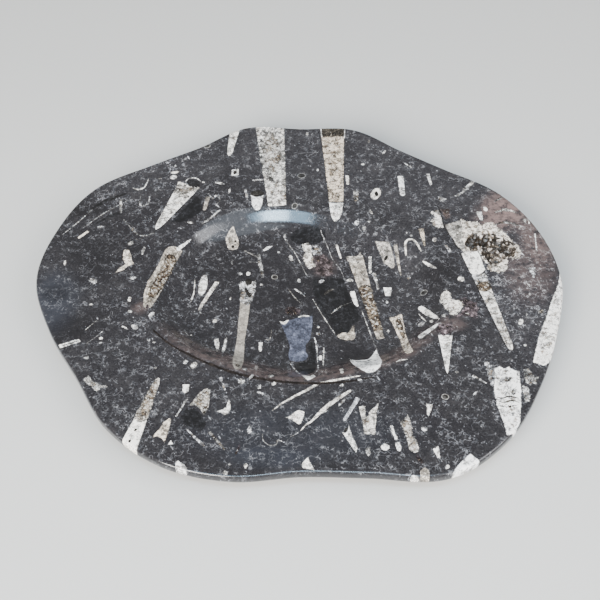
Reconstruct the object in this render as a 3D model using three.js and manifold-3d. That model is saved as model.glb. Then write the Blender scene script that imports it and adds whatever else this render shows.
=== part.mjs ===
// Orthoceras fossil plate: a freeform platter ground from one slab of dark fossil limestone,
// with a shallow basin, a flat polished rim and a small open pocket lined with calcite crystals.
// Units are millimetres. +Z is up, and the origin is under the plate's middle, on the surface it stands on.

import * as THREE from 'three';
import { mergeVertices } from 'three/addons/utils/BufferGeometryUtils.js';
import Module from 'manifold-3d';

const wasm = await Module();
wasm.setup();

const TURN = 2 * Math.PI;

// ---------------------------------------------------------------- driving dimensions

// The plate's wavy outline: its radius every 15 degrees about a point just off the origin, from +X.
const OUTLINE_CENTRE = new THREE.Vector2(1.5, -0.7);
const OUTLINE_RADII = [
  227, 223, 213, 195, 191.5, 202, 196.5, 205, 195.5, 203, 222.5, 228,
  230, 218, 209.5, 215, 214, 205.5, 194.5, 202.5, 226, 229, 223.5, 222.5,
];

// The basin's upper edge: its radius every 30 degrees about the basin's own centre.
const BASIN_CENTRE = new THREE.Vector2(-9, -10);
const BASIN_RADII = [139, 117, 101.5, 102.5, 108.5, 116.5, 121, 116.5, 100.5, 102, 108.5, 131];

// Heights, and the basin's rounded step down from the rim to the floor.
const PLATE_HEIGHT = 32;
const WALL_SLOPE = 0.75;
const BROW_WIDTH = 8;
const WALL_WIDTH = 7;
const COVE_WIDTH = 18;

// The ground edge, and the underside that runs from it down to the flat foot.
const EDGE_THICKNESS = 8;
const TOP_ARRIS = 2.5;
const UNDER_ARRIS = 1;
const FOOT_SHARE = 0.5;
const BELLY_POWER = 0.85;

// How finely the plate is faceted.
const AROUND = 96;
const BROW_STEPS = 4;
const COVE_STEPS = 5;
const BELLY_STEPS = 5;
const ARRIS_STEPS = 3;
const FLOOR_SHARES = [0.62, 0.28];

// The pocket in the rim, its crust of crystals and the hollows left open in that crust.
const POCKET = { x: 170, y: 37, turn: -28, long: 27, wide: 20.5, deep: 11, phase: 4.5, detail: 5 };
const CRUST_GAP = 0.35;
const HOLLOWS = [
  { x: 155.5, y: 43.5, turn: 50, long: 8.5, wide: 5.4, deep: 5.4, phase: 0, crystals: 9 },
  { x: 166, y: 44.5, turn: 60, long: 9, wide: 4.8, deep: 6.6, phase: 2, crystals: 8 },
  { x: 178.5, y: 41, turn: -20, long: 6.5, wide: 4, deep: 4.2, phase: 4, crystals: 7 },
  { x: 185.5, y: 31, turn: 15, long: 6.5, wide: 4, deep: 4.6, phase: 1, crystals: 7 },
  { x: 172, y: 31, turn: -10, long: 5.5, wide: 3.2, deep: 4, phase: 3, crystals: 5 },
  { x: 174, y: 20.5, turn: 35, long: 5.5, wide: 3.6, deep: 3.6, phase: 5, crystals: 5 },
];
const HOLLOW_DETAIL = 2;
const CRYSTAL_RADIUS = 1.9;
const CRYSTAL_LENGTH = 6.5;
const CRYSTAL_ROOT = 1.2;
const CRYSTAL_SIDES = 6;
const WALL_SHARE = 0.72;

// ---------------------------------------------------------------- curves

/** Radius at an angle: a cubic through evenly spaced radii, each with its neighbours' mean slope. */
function radiusAt(radii, angle) {
  const count = radii.length;
  const place = THREE.MathUtils.euclideanModulo(angle / TURN, 1) * count;
  const start = Math.floor(place);
  const t = place - start;
  const radius = (step) => radii[(start + step + count) % count];
  const slopeHere = (radius(1) - radius(-1)) / 2;
  const slopeNext = (radius(2) - radius(0)) / 2;
  const rise = radius(1) - radius(0);
  const bend = 3 * rise - 2 * slopeHere - slopeNext;
  const twist = slopeHere + slopeNext - 2 * rise;
  return radius(0) + t * (slopeHere + t * (bend + t * twist));
}

/** Point on a closed curve at an angle, moved inwards by a distance measured square to the curve. */
function curvePoint(radii, centre, angle, inset) {
  const step = 0.001;
  const radius = radiusAt(radii, angle);
  const slope = (radiusAt(radii, angle + step) - radiusAt(radii, angle - step)) / (2 * step);
  const reach = radius - inset * Math.hypot(1, slope / radius);
  return new THREE.Vector2(Math.cos(angle), Math.sin(angle)).multiplyScalar(reach).add(centre);
}

/** How far the basin's surface lies below the rim, a distance in from the basin's upper edge. */
function basinDrop(inset) {
  const brow = Math.min(inset, BROW_WIDTH);
  const wall = THREE.MathUtils.clamp(inset - BROW_WIDTH, 0, WALL_WIDTH);
  const cove = THREE.MathUtils.clamp(inset - BROW_WIDTH - WALL_WIDTH, 0, COVE_WIDTH);
  const browDrop = (WALL_SLOPE * brow * brow) / (2 * BROW_WIDTH);
  const coveDrop = WALL_SLOPE * (cove - (cove * cove) / (2 * COVE_WIDTH));
  return browDrop + WALL_SLOPE * wall + coveDrop;
}

// ---------------------------------------------------------------- the plate's rings, from foot to floor

/** A ring: a function from an angle to the point of the surface there, on a curve drawn in to a share. */
function ringOn(radii, centre, inset, height, share) {
  return (angle) => {
    const point = curvePoint(radii, centre, angle, inset);
    point.sub(centre).multiplyScalar(share).add(centre);
    return new THREE.Vector3(point.x, point.y, height);
  };
}

function outlineRing(inset, height, share = 1) {
  return ringOn(OUTLINE_RADII, OUTLINE_CENTRE, inset, height, share);
}

function basinRing(inset, share = 1) {
  return ringOn(BASIN_RADII, BASIN_CENTRE, inset, PLATE_HEIGHT - basinDrop(inset), share);
}

/** The flat foot and the underside, which rises from the foot to the edge. */
function undersideRings() {
  const edgeHeight = PLATE_HEIGHT - EDGE_THICKNESS;
  const rings = [outlineRing(0, 0, 0)];
  for (let step = 0; step <= BELLY_STEPS; step += 1) {
    const t = step / BELLY_STEPS;
    const share = FOOT_SHARE + (1 - FOOT_SHARE) * t;
    rings.push(outlineRing(UNDER_ARRIS, edgeHeight * t ** BELLY_POWER, share));
  }
  return rings;
}

/** The edge: a small lower arris, the upright face and the rounded upper arris. */
function edgeRings() {
  const rings = [outlineRing(0, PLATE_HEIGHT - EDGE_THICKNESS + UNDER_ARRIS)];
  for (let step = 0; step <= ARRIS_STEPS; step += 1) {
    const angle = (step / ARRIS_STEPS) * (TURN / 4);
    const inset = TOP_ARRIS * (1 - Math.cos(angle));
    rings.push(outlineRing(inset, PLATE_HEIGHT - TOP_ARRIS * (1 - Math.sin(angle))));
  }
  return rings;
}

/** The basin: the brow, the straight wall, the cove and the level floor. */
function basinRings() {
  const insets = [];
  for (let step = 0; step <= BROW_STEPS; step += 1) {
    insets.push((BROW_WIDTH * step) / BROW_STEPS);
  }
  for (let step = 0; step <= COVE_STEPS; step += 1) {
    insets.push(BROW_WIDTH + WALL_WIDTH + (COVE_WIDTH * step) / COVE_STEPS);
  }
  const floorInset = BROW_WIDTH + WALL_WIDTH + COVE_WIDTH;
  const rings = insets.map((inset) => basinRing(inset));
  return rings.concat([...FLOOR_SHARES, 0].map((share) => basinRing(floorInset, share)));
}

/** A lathe turned through the rings, with each of its points moved to its ring. */
function ringGeometry(rings) {
  const last = rings.length - 1;
  const profile = rings.map((ring, index) => {
    const onAxis = index === 0 || index === last;
    return new THREE.Vector2(onAxis ? 0 : 1, index);
  });
  const geometry = new THREE.LatheGeometry(profile, AROUND);
  const position = geometry.getAttribute('position');
  for (let index = 0; index < position.count; index += 1) {
    const side = Math.floor(index / rings.length) % AROUND;
    const place = rings[index % rings.length](TURN * (side / AROUND));
    position.setXYZ(index, place.x, place.y, place.z);
  }
  return geometry;
}

// ---------------------------------------------------------------- solids

/** A closed geometry as a solid that can be cut and joined. */
function solidOf(geometry) {
  const bare = geometry.clone();
  bare.deleteAttribute('normal');
  bare.deleteAttribute('uv');
  const merged = mergeVertices(bare, 1e-4);
  const corners = Array.from(merged.index.array);
  const faces = [];
  for (let first = 0; first < corners.length; first += 3) {
    const [a, b, c] = corners.slice(first, first + 3);
    if (a !== b && b !== c && c !== a) {
      faces.push(a, b, c);
    }
  }
  const mesh = new wasm.Mesh({
    numProp: 3,
    vertProperties: new Float32Array(merged.getAttribute('position').array),
    triVerts: new Uint32Array(faces),
  });
  return new wasm.Manifold(mesh);
}

/** A solid back as a geometry with flat faces. */
function geometryOf(solid) {
  const mesh = solid.getMesh();
  const geometry = new THREE.BufferGeometry();
  geometry.setAttribute('position', new THREE.BufferAttribute(new Float32Array(mesh.vertProperties), 3));
  geometry.setIndex(new THREE.BufferAttribute(new Uint32Array(mesh.triVerts), 1));
  geometry.computeVertexNormals();
  return geometry;
}

/** A lumpy bowl: the lower half of a flattened ball, open at the rim's height. */
function bowlSolid({ x, y, turn, long, wide, deep, phase, detail = HOLLOW_DETAIL }, gap = 0) {
  const geometry = new THREE.IcosahedronGeometry(1, detail);
  const position = geometry.getAttribute('position');
  const point = new THREE.Vector3();
  for (let index = 0; index < position.count; index += 1) {
    point.fromBufferAttribute(position, index);
    const around = Math.atan2(point.y, point.x);
    const lump = 1 + 0.08 * Math.sin(3 * around + phase) + 0.05 * Math.sin(5 * around + 4 * point.z);
    point.x *= long * lump - gap;
    point.y *= wide * lump - gap;
    point.z *= deep - gap;
    position.setXYZ(index, point.x, point.y, point.z);
  }
  geometry.rotateZ(THREE.MathUtils.degToRad(turn));
  geometry.translate(x, y, PLATE_HEIGHT);
  return solidOf(geometry);
}

/** Everything below the polished rim's plane, over the pocket. */
function belowRimSolid() {
  const size = 4 * POCKET.long;
  const geometry = new THREE.BoxGeometry(size, size, size);
  geometry.translate(POCKET.x, POCKET.y, PLATE_HEIGHT - size / 2);
  return solidOf(geometry);
}

/** One pointed crystal that grows from a hollow's wall and leans in over it. */
function crystalSolid(hollow, index) {
  const around = TURN * (index / hollow.crystals) + hollow.phase;
  const turn = THREE.MathUtils.degToRad(hollow.turn);
  const size = 0.78 + 0.26 * Math.sin(7 * index + hollow.phase);
  const lean = 0.75 + 0.4 * Math.sin(3 * index + hollow.phase);
  const length = CRYSTAL_LENGTH * size;
  const geometry = new THREE.ConeGeometry(CRYSTAL_RADIUS * size, length, CRYSTAL_SIDES);
  geometry.rotateX(TURN / 4);
  geometry.translate(0, 0, length / 2 - CRYSTAL_ROOT);
  geometry.rotateY(-lean);
  geometry.rotateZ(around + turn);
  const wall = new THREE.Vector2(hollow.long * Math.cos(around), hollow.wide * Math.sin(around));
  wall.multiplyScalar(WALL_SHARE).rotateAround(new THREE.Vector2(), turn);
  geometry.translate(hollow.x + wall.x, hollow.y + wall.y, PLATE_HEIGHT - WALL_SHARE * hollow.deep);
  return solidOf(geometry);
}

// ---------------------------------------------------------------- sub-parts

/** The slab itself, ground to shape, with the pocket open in its rim. */
function plateMesh() {
  const rings = [...undersideRings(), ...edgeRings(), ...basinRings()];
  const slab = solidOf(ringGeometry(rings));
  const material = new THREE.MeshStandardMaterial({ color: 0x47474a, roughness: 0.25, metalness: 0 });
  const mesh = new THREE.Mesh(geometryOf(slab.subtract(bowlSolid(POCKET))), material);
  mesh.name = 'fossil_plate';
  return mesh;
}

/** The crust that lines the pocket, ground off level with the rim, with hollows and crystals in it. */
function crustMesh() {
  const lining = bowlSolid(POCKET, CRUST_GAP).intersect(belowRimSolid());
  let crust = lining;
  for (const hollow of HOLLOWS) {
    crust = crust.subtract(bowlSolid(hollow));
  }
  for (const hollow of HOLLOWS) {
    for (let index = 0; index < hollow.crystals; index += 1) {
      crust = crust.add(crystalSolid(hollow, index).intersect(lining));
    }
  }
  const material = new THREE.MeshStandardMaterial({ color: 0xc9bfb0, roughness: 0.45, metalness: 0 });
  const mesh = new THREE.Mesh(geometryOf(crust), material);
  mesh.name = 'calcite_crust';
  return mesh;
}

const fossilPlate = new THREE.Group();
fossilPlate.add(plateMesh(), crustMesh());

export default fossilPlate;
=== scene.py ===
"""Dresses the orthoceras fossil plate: a polished black limestone slab with a shallow basin.

The plate is one stone full of straight-shelled fossils, with one small crystal-lined opening near
its rim. Two pieces stand for the two solids of the frame: the plate and the calcite crust of the
opening. Sizes are in millimetres until a mesh is made, and a mesh is in metres. A place in the plan
is one complex number, X + iY, so that turning it is a multiplication.
"""

import logging
import math
from dataclasses import dataclass, field, replace
from enum import Enum
from typing import Callable, Iterable, NamedTuple, Sequence

import bpy
import numpy as np
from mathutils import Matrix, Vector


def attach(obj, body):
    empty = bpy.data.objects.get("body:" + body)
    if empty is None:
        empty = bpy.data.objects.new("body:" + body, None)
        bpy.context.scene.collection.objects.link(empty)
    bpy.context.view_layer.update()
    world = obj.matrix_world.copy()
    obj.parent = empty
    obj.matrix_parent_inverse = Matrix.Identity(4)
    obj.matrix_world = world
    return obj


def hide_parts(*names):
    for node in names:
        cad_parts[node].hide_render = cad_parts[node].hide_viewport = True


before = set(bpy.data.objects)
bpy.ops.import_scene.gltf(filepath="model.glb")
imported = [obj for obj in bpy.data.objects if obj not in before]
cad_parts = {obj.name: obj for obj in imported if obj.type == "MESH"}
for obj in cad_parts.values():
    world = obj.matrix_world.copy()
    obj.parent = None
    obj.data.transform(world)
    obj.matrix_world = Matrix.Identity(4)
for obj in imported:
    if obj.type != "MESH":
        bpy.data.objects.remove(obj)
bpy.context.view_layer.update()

LOG = logging.getLogger("fossil_plate")
MM = 0.001
FULL_TURN = 2 * math.pi
NUDGE = 1e-3
Point = tuple[float, float]
Array = np.ndarray


def turned(spots: Array, centre: Point, degrees: float) -> Array:
    """Places as seen from a centre: the real part lies along a direction, the other across it."""
    return (spots - complex(*centre)) * np.exp(-1j * math.radians(degrees))


def placed(own: Array, centre: Point, degrees: float) -> Array:
    """Places in the plan of places given along and across a direction from a centre."""
    return complex(*centre) + own * np.exp(1j * math.radians(degrees))


def between(before: Array, here: Array, after: Array, beyond: Array, part: Array) -> Array:
    """Values on a smooth curve, at a part of the way from here to after.

    One cubic runs from here to after. Its slope at each of them is half the step between the two
    values beside it.

    Args:
        before: The value before here.
        here: The value at the start.
        after: The value at the end.
        beyond: The value past the end.
        part: Part of the way, from 0 to 1.

    Returns:
        The values.
    """
    slope_in, slope_out, rise = (after - before) / 2, (beyond - here) / 2, after - here
    bend = 3 * rise - 2 * slope_in - slope_out
    twist = slope_in + slope_out - 2 * rise
    return here + part * (slope_in + part * (bend + part * twist))


# -------------------- the stone's form


@dataclass(frozen=True)
class Ring:
    """A closed wavy curve round a centre, given by radii at even angles from +X."""

    centre: Point
    radii: tuple[float, ...]

    def radius(self, angle: Array) -> Array:
        """Radius along each angle, on a smooth curve through the given radii.

        Args:
            angle: Angles in radians.

        Returns:
            Radii in millimetres.
        """
        values = np.array(self.radii)
        place = angle % FULL_TURN / FULL_TURN * len(values)
        start = np.floor(place).astype(int)
        beside = (values[(start + step) % len(values)] for step in (-1, 0, 1, 2))
        return between(*beside, place - start)

    def stretch(self, angle: Array) -> Array:
        """How many times longer a radial step is than the same step taken square to the curve."""
        slope = (self.radius(angle + NUDGE) - self.radius(angle - NUDGE)) / (2 * NUDGE)
        return np.hypot(1, slope / self.radius(angle))

    def reach(self, angle: Array, inset: float | Array) -> Array:
        """Distance from the centre to the curve moved inwards by an inset."""
        return self.radius(angle) - inset * self.stretch(angle)

    def at(self, angle: Array, inset: float | Array) -> Array:
        """Places on the inset curve along each angle."""
        return complex(*self.centre) + self.reach(angle, inset) * np.exp(1j * angle)

    def inset(self, spots: Array) -> Array:
        """How far inside the curve each place lies, negative outside it."""
        off = spots - complex(*self.centre)
        return (self.radius(np.angle(off)) - abs(off)) / self.stretch(np.angle(off))


@dataclass(frozen=True)
class SlabForm:
    """The outside shape of the plate: outline, basin, edge and bowl-like underside."""

    outline: Ring = Ring(
        (1.5, -0.7),
        (227, 223, 213, 195, 191.5, 202, 196.5, 205, 195.5, 203, 222.5, 228,
         230, 218, 209.5, 215, 214, 205.5, 194.5, 202.5, 226, 229, 223.5, 222.5),
    )
    basin: Ring = Ring(
        (-9, -10),
        (139, 117, 101.5, 102.5, 108.5, 116.5, 121, 116.5, 100.5, 102, 108.5, 131),
    )
    height: float = 32
    wall_slope: float = 0.75
    brow: float = 8
    wall: float = 7
    cove: float = 18
    edge: float = 8
    top_arris: float = 2.5
    under_arris: float = 1
    foot_share: float = 0.5
    belly_power: float = 0.85
    clearance: float = 0.3
    wave_depth: float = 0.12

    def basin_drop(self, inset: Array) -> Array:
        """Depth of the basin at an inset from its lip.

        A parabola rolls the lip over, a straight wall follows, and a second parabola flattens
        into the floor.

        Args:
            inset: Millimetres inside the lip.

        Returns:
            Depth below the flat top.
        """
        brow = np.clip(inset, 0, self.brow)
        wall = np.clip(inset - self.brow, 0, self.wall)
        cove = np.clip(inset - self.brow - self.wall, 0, self.cove)
        rolled = brow**2 / (2 * self.brow) + wall + cove - cove**2 / (2 * self.cove)
        return self.wall_slope * rolled

    def wave(self, spots: Array) -> Array:
        """Slight hand-ground unevenness below the true face: three crossed sine waves.

        Args:
            spots: Places in the plan.

        Returns:
            Millimetres below the true face.
        """
        x, y = spots.real, spots.imag
        swell = np.sin(x / 23 + 1.3 * np.sin(y / 41)) + np.sin(y / 19 + 0.8) + np.sin((x - y) / 31)
        return self.wave_depth * (3.2 + swell) / 6.2

    def top(self, spots: Array) -> Array:
        """Height of the polished face at each place."""
        return self.height - self.basin_drop(self.basin.inset(spots)) - self.wave(spots)

    def edge_rows(self) -> list[tuple[float, float]]:
        """(inset, height) of each row of points down the edge, from the face to the belly.

        Returns:
            One pair of millimetres for each row.
        """
        top, low = np.radians((18, 36, 54, 72, 90)), np.radians((45, 90))
        upper = self.height - self.top_arris
        lower = self.height - self.edge + self.under_arris
        return [
            *zip(self.top_arris * (1 - np.sin(top)), upper + self.top_arris * np.cos(top)),
            (0, (upper + lower) / 2),
            (0, lower),
            *zip(self.under_arris * (1 - np.cos(low)), lower - self.under_arris * np.sin(low)),
        ]

    def belly(self, share: Array) -> Array:
        """Height of the underside at a share of the outline: flat foot, then a rising bowl."""
        beyond = np.clip((share - self.foot_share) / (1 - self.foot_share), 0, 1)
        return (self.height - self.edge) * beyond**self.belly_power


SLAB = SlabForm()


@dataclass(frozen=True)
class Lump:
    """A rounded opening, longer one way, with three large and five small lobes round it."""

    centre: Point
    turn: float
    long: float
    wide: float
    deep: float
    phase: float

    def lobes(self, angle: Array) -> Array:
        """The lobed outline at the face, about 1."""
        return 1 + 0.08 * np.sin(3 * angle + self.phase) + 0.05 * np.sin(5 * angle)

    def rim(self, angle: Array, grow: float) -> Array:
        """Places round the outline, grown outwards by some millimetres.

        Args:
            angle: Angles in radians.
            grow: Millimetres added all round.

        Returns:
            Places in the plan.
        """
        along = (self.long * self.lobes(angle) + grow) * np.cos(angle)
        across = (self.wide * self.lobes(angle) + grow) * np.sin(angle)
        return placed(along + 1j * across, self.centre, self.turn)

    def share(self, spots: Array) -> Array:
        """0 at the centre, 1 on the outline and more outside it.

        Args:
            spots: Places in the plan.

        Returns:
            Part of the way from the centre to the outline.
        """
        own = turned(spots, self.centre, self.turn)
        even = own.real / self.long + 1j * own.imag / self.wide
        return abs(even) / self.lobes(np.angle(even))


POCKET = Lump((170, 37), -28, 27, 20.5, 11, 4.5)
HOLLOWS = (
    Lump((155.5, 43.5), 50, 8.5, 5.4, 5.4, 0),
    Lump((166, 44.5), 60, 9, 4.8, 6.6, 2),
    Lump((178.5, 41), -20, 6.5, 4, 4.2, 4),
    Lump((185.5, 31), 15, 6.5, 4, 4.6, 1),
    Lump((172, 31), -10, 5.5, 3.2, 4, 3),
    Lump((174, 20.5), 35, 5.5, 3.6, 3.6, 5),
)


# -------------------- fossils cut by the face


@dataclass(frozen=True)
class Fill:
    """What one kind of fossil is filled with.

    tone is brightness, warmth runs from bluish (-1) to tan (1), grain is the share of brown and
    dark grains inside the clean rim, rim is the width over which the filling of the middle comes
    in, core is its brightness, septa is the spacing of chamber walls, lines is the strength of
    lengthwise streaks and ragged is how many millimetres the outline wanders.
    """

    tone: float
    warmth: float
    grain: float
    rim: float
    core: float
    septa: float
    lines: float
    ragged: float


class Filling(Enum):
    """The fillings found in the stone."""

    WHITE = Fill(0.94, 0.05, 0.22, 0.8, 0.95, 0, 0.3, 0.8)
    BRIGHT = Fill(1.25, 0, 0.12, 0.8, 1, 0, 0.15, 0.6)
    CHIP = Fill(0.55, -0.02, 0.35, 0.5, 0.85, 0, 0.3, 1.5)
    FIBRE = Fill(0.62, 0.15, 0.35, 0.6, 0.9, 0, 0.5, 0.9)
    CREAM = Fill(0.62, 0.32, 0.15, 0.9, 0.7, 0, 0.4, 0.8)
    TAN = Fill(0.75, 0.36, 0.45, 1, 0.85, 0, 0.3, 0.8)
    BROWN = Fill(0.07, 0.45, 0.85, 1.2, 0.4, 0, 0.2, 1.2)
    SPECKLED = Fill(0.24, 0.1, 0.6, 1.4, 0.6, 0, 0.1, 1.2)
    CHAMBERED = Fill(0.95, 0.1, 0.2, 0.8, 0.95, 4.0, 0.1, 0.5)
    BLUE = Fill(0.158, -0.8, -0.05, 0.8, 0.85, 0, 0, 0.8)
    PINK = Fill(0.8, 0.24, 0.25, 0.6, 0.95, 0, 0.35, 0.9)
    GREY = Fill(0.28, -0.1, 0.4, 0.8, 0.85, 0, 0.4, 2.0)
    DIM = Fill(0.14, 0.0, 0.4, 0.8, 0.8, 0, 0.4, 1.4)
    RED = Fill(0.05, 1.1, 0.25, 0.5, 0.9, 0, 0.1, 2.6)
    RING = Fill(0.6, 0.05, 0, 0.5, 0.06, 0, 0, 0.6)
    VEIN = Fill(0.2, 0.05, 0.3, 0.5, 1, 0, 0, 0.7)
    GUARD = Fill(0.42, 0.22, 0.1, 1, 0.9, 0, 0.45, 0.7)
    SHAFT = Fill(0.42, 0.3, -0.15, 1.2, 0.84, 0, 0.15, 0.3)
    SPEAR = Fill(0.66, 0.1, 0.3, 1, 0.85, 6.5, 0.3, 0.8)
    MOTTLED = Fill(0.42, 0.12, 0.6, 5, 0.6, 0, 0.5, 1.4)
    CLOUDED = Fill(1.35, -0.05, 0.36, 2, 0.9, 0, 0.3, 1.2)
    CALCITE = Fill(0.72, 0.2, 0.45, 0.5, 0.9, 0, 0.1, 3.6)
    COOL = Fill(0.6, -0.4, 0.15, 0.7, 0.9, 0, 0.2, 0.7)
    LILAC = Fill(0.25, -0.3, 0.4, 2, 0.8, 0, 0.1, 4.5)
    ROSY = Fill(0.12, 0.95, 0.18, 2, 0.8, 0, 0.1, 5)
    SHADE = Fill(0.018, -0.4, 0, 2, 0.8, 0, 0.4, 2.2)
    SHADED = Fill(0.055, 0.3, 0.1, 1, 0.9, 0, 0.4, 0.6)
    VOID = Fill(0.012, 0.1, 0, 1, 1, 0, 0, 0.6)
    # Painted shade: a dark brown line along the near brow, where the rim rolls into the basin.
    CREASE = Fill(0.02, 0.9, 0, 1, 1, 0, 0, 1.4)


@dataclass(frozen=True)
class Fields:
    """Where points lie in one fossil: along it, across it, and how far outside it.

    across is scaled so that the outline is at the one half-width wide, and cap_back and cap_front
    are the lengths over which the two ends round off.
    """

    along: Array
    across: Array
    gap: Array
    wide: float
    long: float
    cap_back: float
    cap_front: float


class Form:
    """A fossil's section in the face of the stone."""

    def spine(self) -> tuple[Array, float]:
        """Places that the form lies round, and how far it reaches past them."""
        raise NotImplementedError

    def fields(self, spots: Array) -> Fields:
        """The fossil's own coordinates at each place."""
        raise NotImplementedError

    def box(self, room: float = 0) -> tuple[complex, complex]:
        """The box round the form.

        Args:
            room: Millimetres left free on every side.

        Returns:
            Its lowest and highest corner.
        """
        spots, past = self.spine()
        grow = (past + room) * (1 + 1j)
        low = complex(spots.real.min(), spots.imag.min())
        return low - grow, complex(spots.real.max(), spots.imag.max()) + grow

    def near(self, spots: Array, room: float) -> Array:
        """Numbers of the places that lie in the box round the form and its free room."""
        low, high = (corner - spots for corner in self.box(room))
        return np.flatnonzero((low.real < 0) & (low.imag < 0) & (high.real > 0) & (high.imag > 0))


SQUARE_CAP = 0.5
THINNEST = 0.2
CURVE_STEPS = 10
PAST_ENDS = 100


def plan(points: Iterable[Point]) -> Array:
    """The points as places in the plan."""
    return np.array([complex(*point) for point in points])


@dataclass(frozen=True)
class Rod(Form):
    """A straight shell that narrows from one end to the other.

    The half-width changes evenly from start to end. square says that the far end is cut square
    instead of rounding off, and round_start that the near end rounds off too.
    """

    start: Point
    end: Point
    start_half: float
    end_half: float
    square: bool = False
    round_start: bool = False

    def spine(self) -> tuple[Array, float]:
        """The ends of the axis, and the larger half-width."""
        return plan((self.start, self.end)), max(self.start_half, self.end_half)

    def fields(self, spots: Array) -> Fields:
        """Distance along the axis from its middle, and distance across it over the half-width.

        Args:
            spots: Places in the plan.

        Returns:
            The rod's own coordinates.
        """
        (start, end), wide = self.spine()
        length = abs(end - start)
        own = (spots - (start + end) / 2) * (end - start).conjugate() / length
        part = np.clip(own.real / length + 0.5, -0.2, 1.2)
        half = np.maximum(self.start_half + (self.end_half - self.start_half) * part, THINNEST)
        gap = np.maximum(abs(own.imag) - half, abs(own.real) - length / 2)
        flat = min(SQUARE_CAP, length / 2)
        rounded = min(wide * 1.1, length / 2)
        caps = rounded if self.round_start else flat, flat if self.square else rounded
        return Fields(own.real, own.imag * wide / half, gap, wide, length / 2, *caps)


@dataclass(frozen=True)
class Oval(Form):
    """An ellipse, long along its turn, which is in degrees from +X."""

    centre: Point
    long_half: float
    wide_half: float
    turn: float

    def spine(self) -> tuple[Array, float]:
        """The centre, and the larger half-size."""
        return plan((self.centre,)), max(self.long_half, self.wide_half)

    def fields(self, spots: Array) -> Fields:
        """Plain turned coordinates: both ends round off over the whole half-length.

        Args:
            spots: Places in the plan.

        Returns:
            The oval's own coordinates.
        """
        own = turned(spots, self.centre, self.turn)
        gap = abs(own) - max(self.long_half, self.wide_half)
        return Fields(own.real, own.imag, gap, self.wide_half, *[self.long_half] * 3)


@dataclass(frozen=True)
class Thread(Form):
    """A thin bent form: a vein, a crescent or the edge of a shell.

    The axis is a smooth curve through the points, and the half-width follows the given values
    evenly spread along it.
    """

    points: tuple[Point, ...]
    halves: tuple[float, ...]

    def spine(self) -> tuple[Array, float]:
        """A smooth curve through the points, and the largest half-width.

        Returns:
            Places along the curve, and the half-width.
        """
        given = plan(self.points)
        padded = np.concatenate([[2 * given[0] - given[1]], given, [2 * given[-1] - given[-2]]])
        beside = (padded[k : k + len(given) - 1, None] for k in range(4))
        curve = between(*beside, np.arange(CURVE_STEPS) / CURVE_STEPS)
        return np.append(curve.ravel(), given[-1]), max(self.halves)

    def fields(self, spots: Array) -> Fields:
        """Distance along the curve to the nearest place on it, and the signed distance off it.

        Args:
            spots: Places in the plan.

        Returns:
            The thread's own coordinates.
        """
        axis, wide = self.spine()
        step = np.diff(axis)
        length = abs(step)
        travelled = np.append(0, np.cumsum(length))
        middle = travelled[-1] / 2
        own = (spots[:, None] - axis[:-1]) * step.conj() / length
        low, high = np.zeros(len(step)), np.ones(len(step))
        low[0], high[-1] = -PAST_ENDS, PAST_ENDS
        part = np.clip(own.real / length, low, high)
        off = abs(own - part * length)
        nearest = np.arange(len(spots)), off.argmin(1)
        along = (travelled[:-1] + part * length)[nearest] - middle
        share = np.clip(along / travelled[-1] + 0.5, 0, 1)
        half = np.interp(share, np.linspace(0, 1, len(self.halves)), self.halves)
        half = np.maximum(half, THINNEST)
        across = off[nearest] * np.sign(own.imag[nearest])
        gap = np.maximum(abs(across) - half, abs(along) - middle)
        cap = min(wide * 1.5, middle)
        return Fields(along, across * wide / half, gap, wide, middle, cap, cap)


PATCH_DEPTH = 20.0
PATCH_LENGTH = 1000.0


@dataclass(frozen=True)
class Patch(Form):
    """An uneven closed outline given by its corners; grain is the direction of its streaks."""

    corners: tuple[Point, ...]
    grain: float = 90

    def spine(self) -> tuple[Array, float]:
        """The corners, with nothing past them."""
        return plan(self.corners), 0

    def fields(self, spots: Array) -> Fields:
        """Signed distance to the outline, put on the scale of a very wide rod.

        Args:
            spots: Places in the plan.

        Returns:
            The patch's own coordinates.
        """
        here = plan(self.corners)
        there = np.roll(here, -1)
        step = there - here
        from_here = spots[:, None] - here
        part = np.clip((from_here * step.conj()).real / abs(step) ** 2, 0, 1)
        off = abs(from_here - part * step).min(1)
        up = from_here.imag
        above = (up < 0) != (there.imag > spots.imag[:, None])
        rise = np.where(step.imag == 0, 1, step.imag)
        crossed = above & (from_here.real < up / rise * step.real)
        gap = np.where(crossed.sum(1) % 2 == 1, -off, off)
        along = turned(spots, (0, 0), self.grain).real
        return Fields(along, gap + PATCH_DEPTH, gap, PATCH_DEPTH, PATCH_LENGTH, 1, 1)


@dataclass(frozen=True)
class Fossil:
    """One fossil: its section in the face and what fills it.

    within says that it is only a region of the fossil before it, and shares its shade.
    """

    form: Form
    filling: Filling
    within: bool = False


ZONE_MARGIN = 2.7
ZONE_SPACE = 2.7
TOUCHING = 0.3
GOLDEN_SHARE = 0.6180339
LAYER_SPAN = ("place", "ends", "tint", "marks")
NO_FOSSIL = ((0, 9, 1, 1), (1, 1, 0, 0), (0, 0, 0, 0), (0, 0, 0, 0))
NOTHING_NEAR = 1e3


def blank_layers(layers: int, count: int) -> Array:
    """Layers with no fossil in them, for so many vertices."""
    return np.tile(np.array(NO_FOSSIL, np.float32), (layers, count, 1, 1))


def join_layers(parts: Sequence[Array]) -> Array:
    """Puts the layers of several runs of vertices end to end.

    Args:
        parts: The layers of each run.

    Returns:
        Layers over all the vertices, blank where a run has fewer of them.
    """
    depth = max(len(part) for part in parts)
    parts = [np.vstack([part, blank_layers(depth - len(part), part.shape[1])]) for part in parts]
    return np.hstack(parts)


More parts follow.
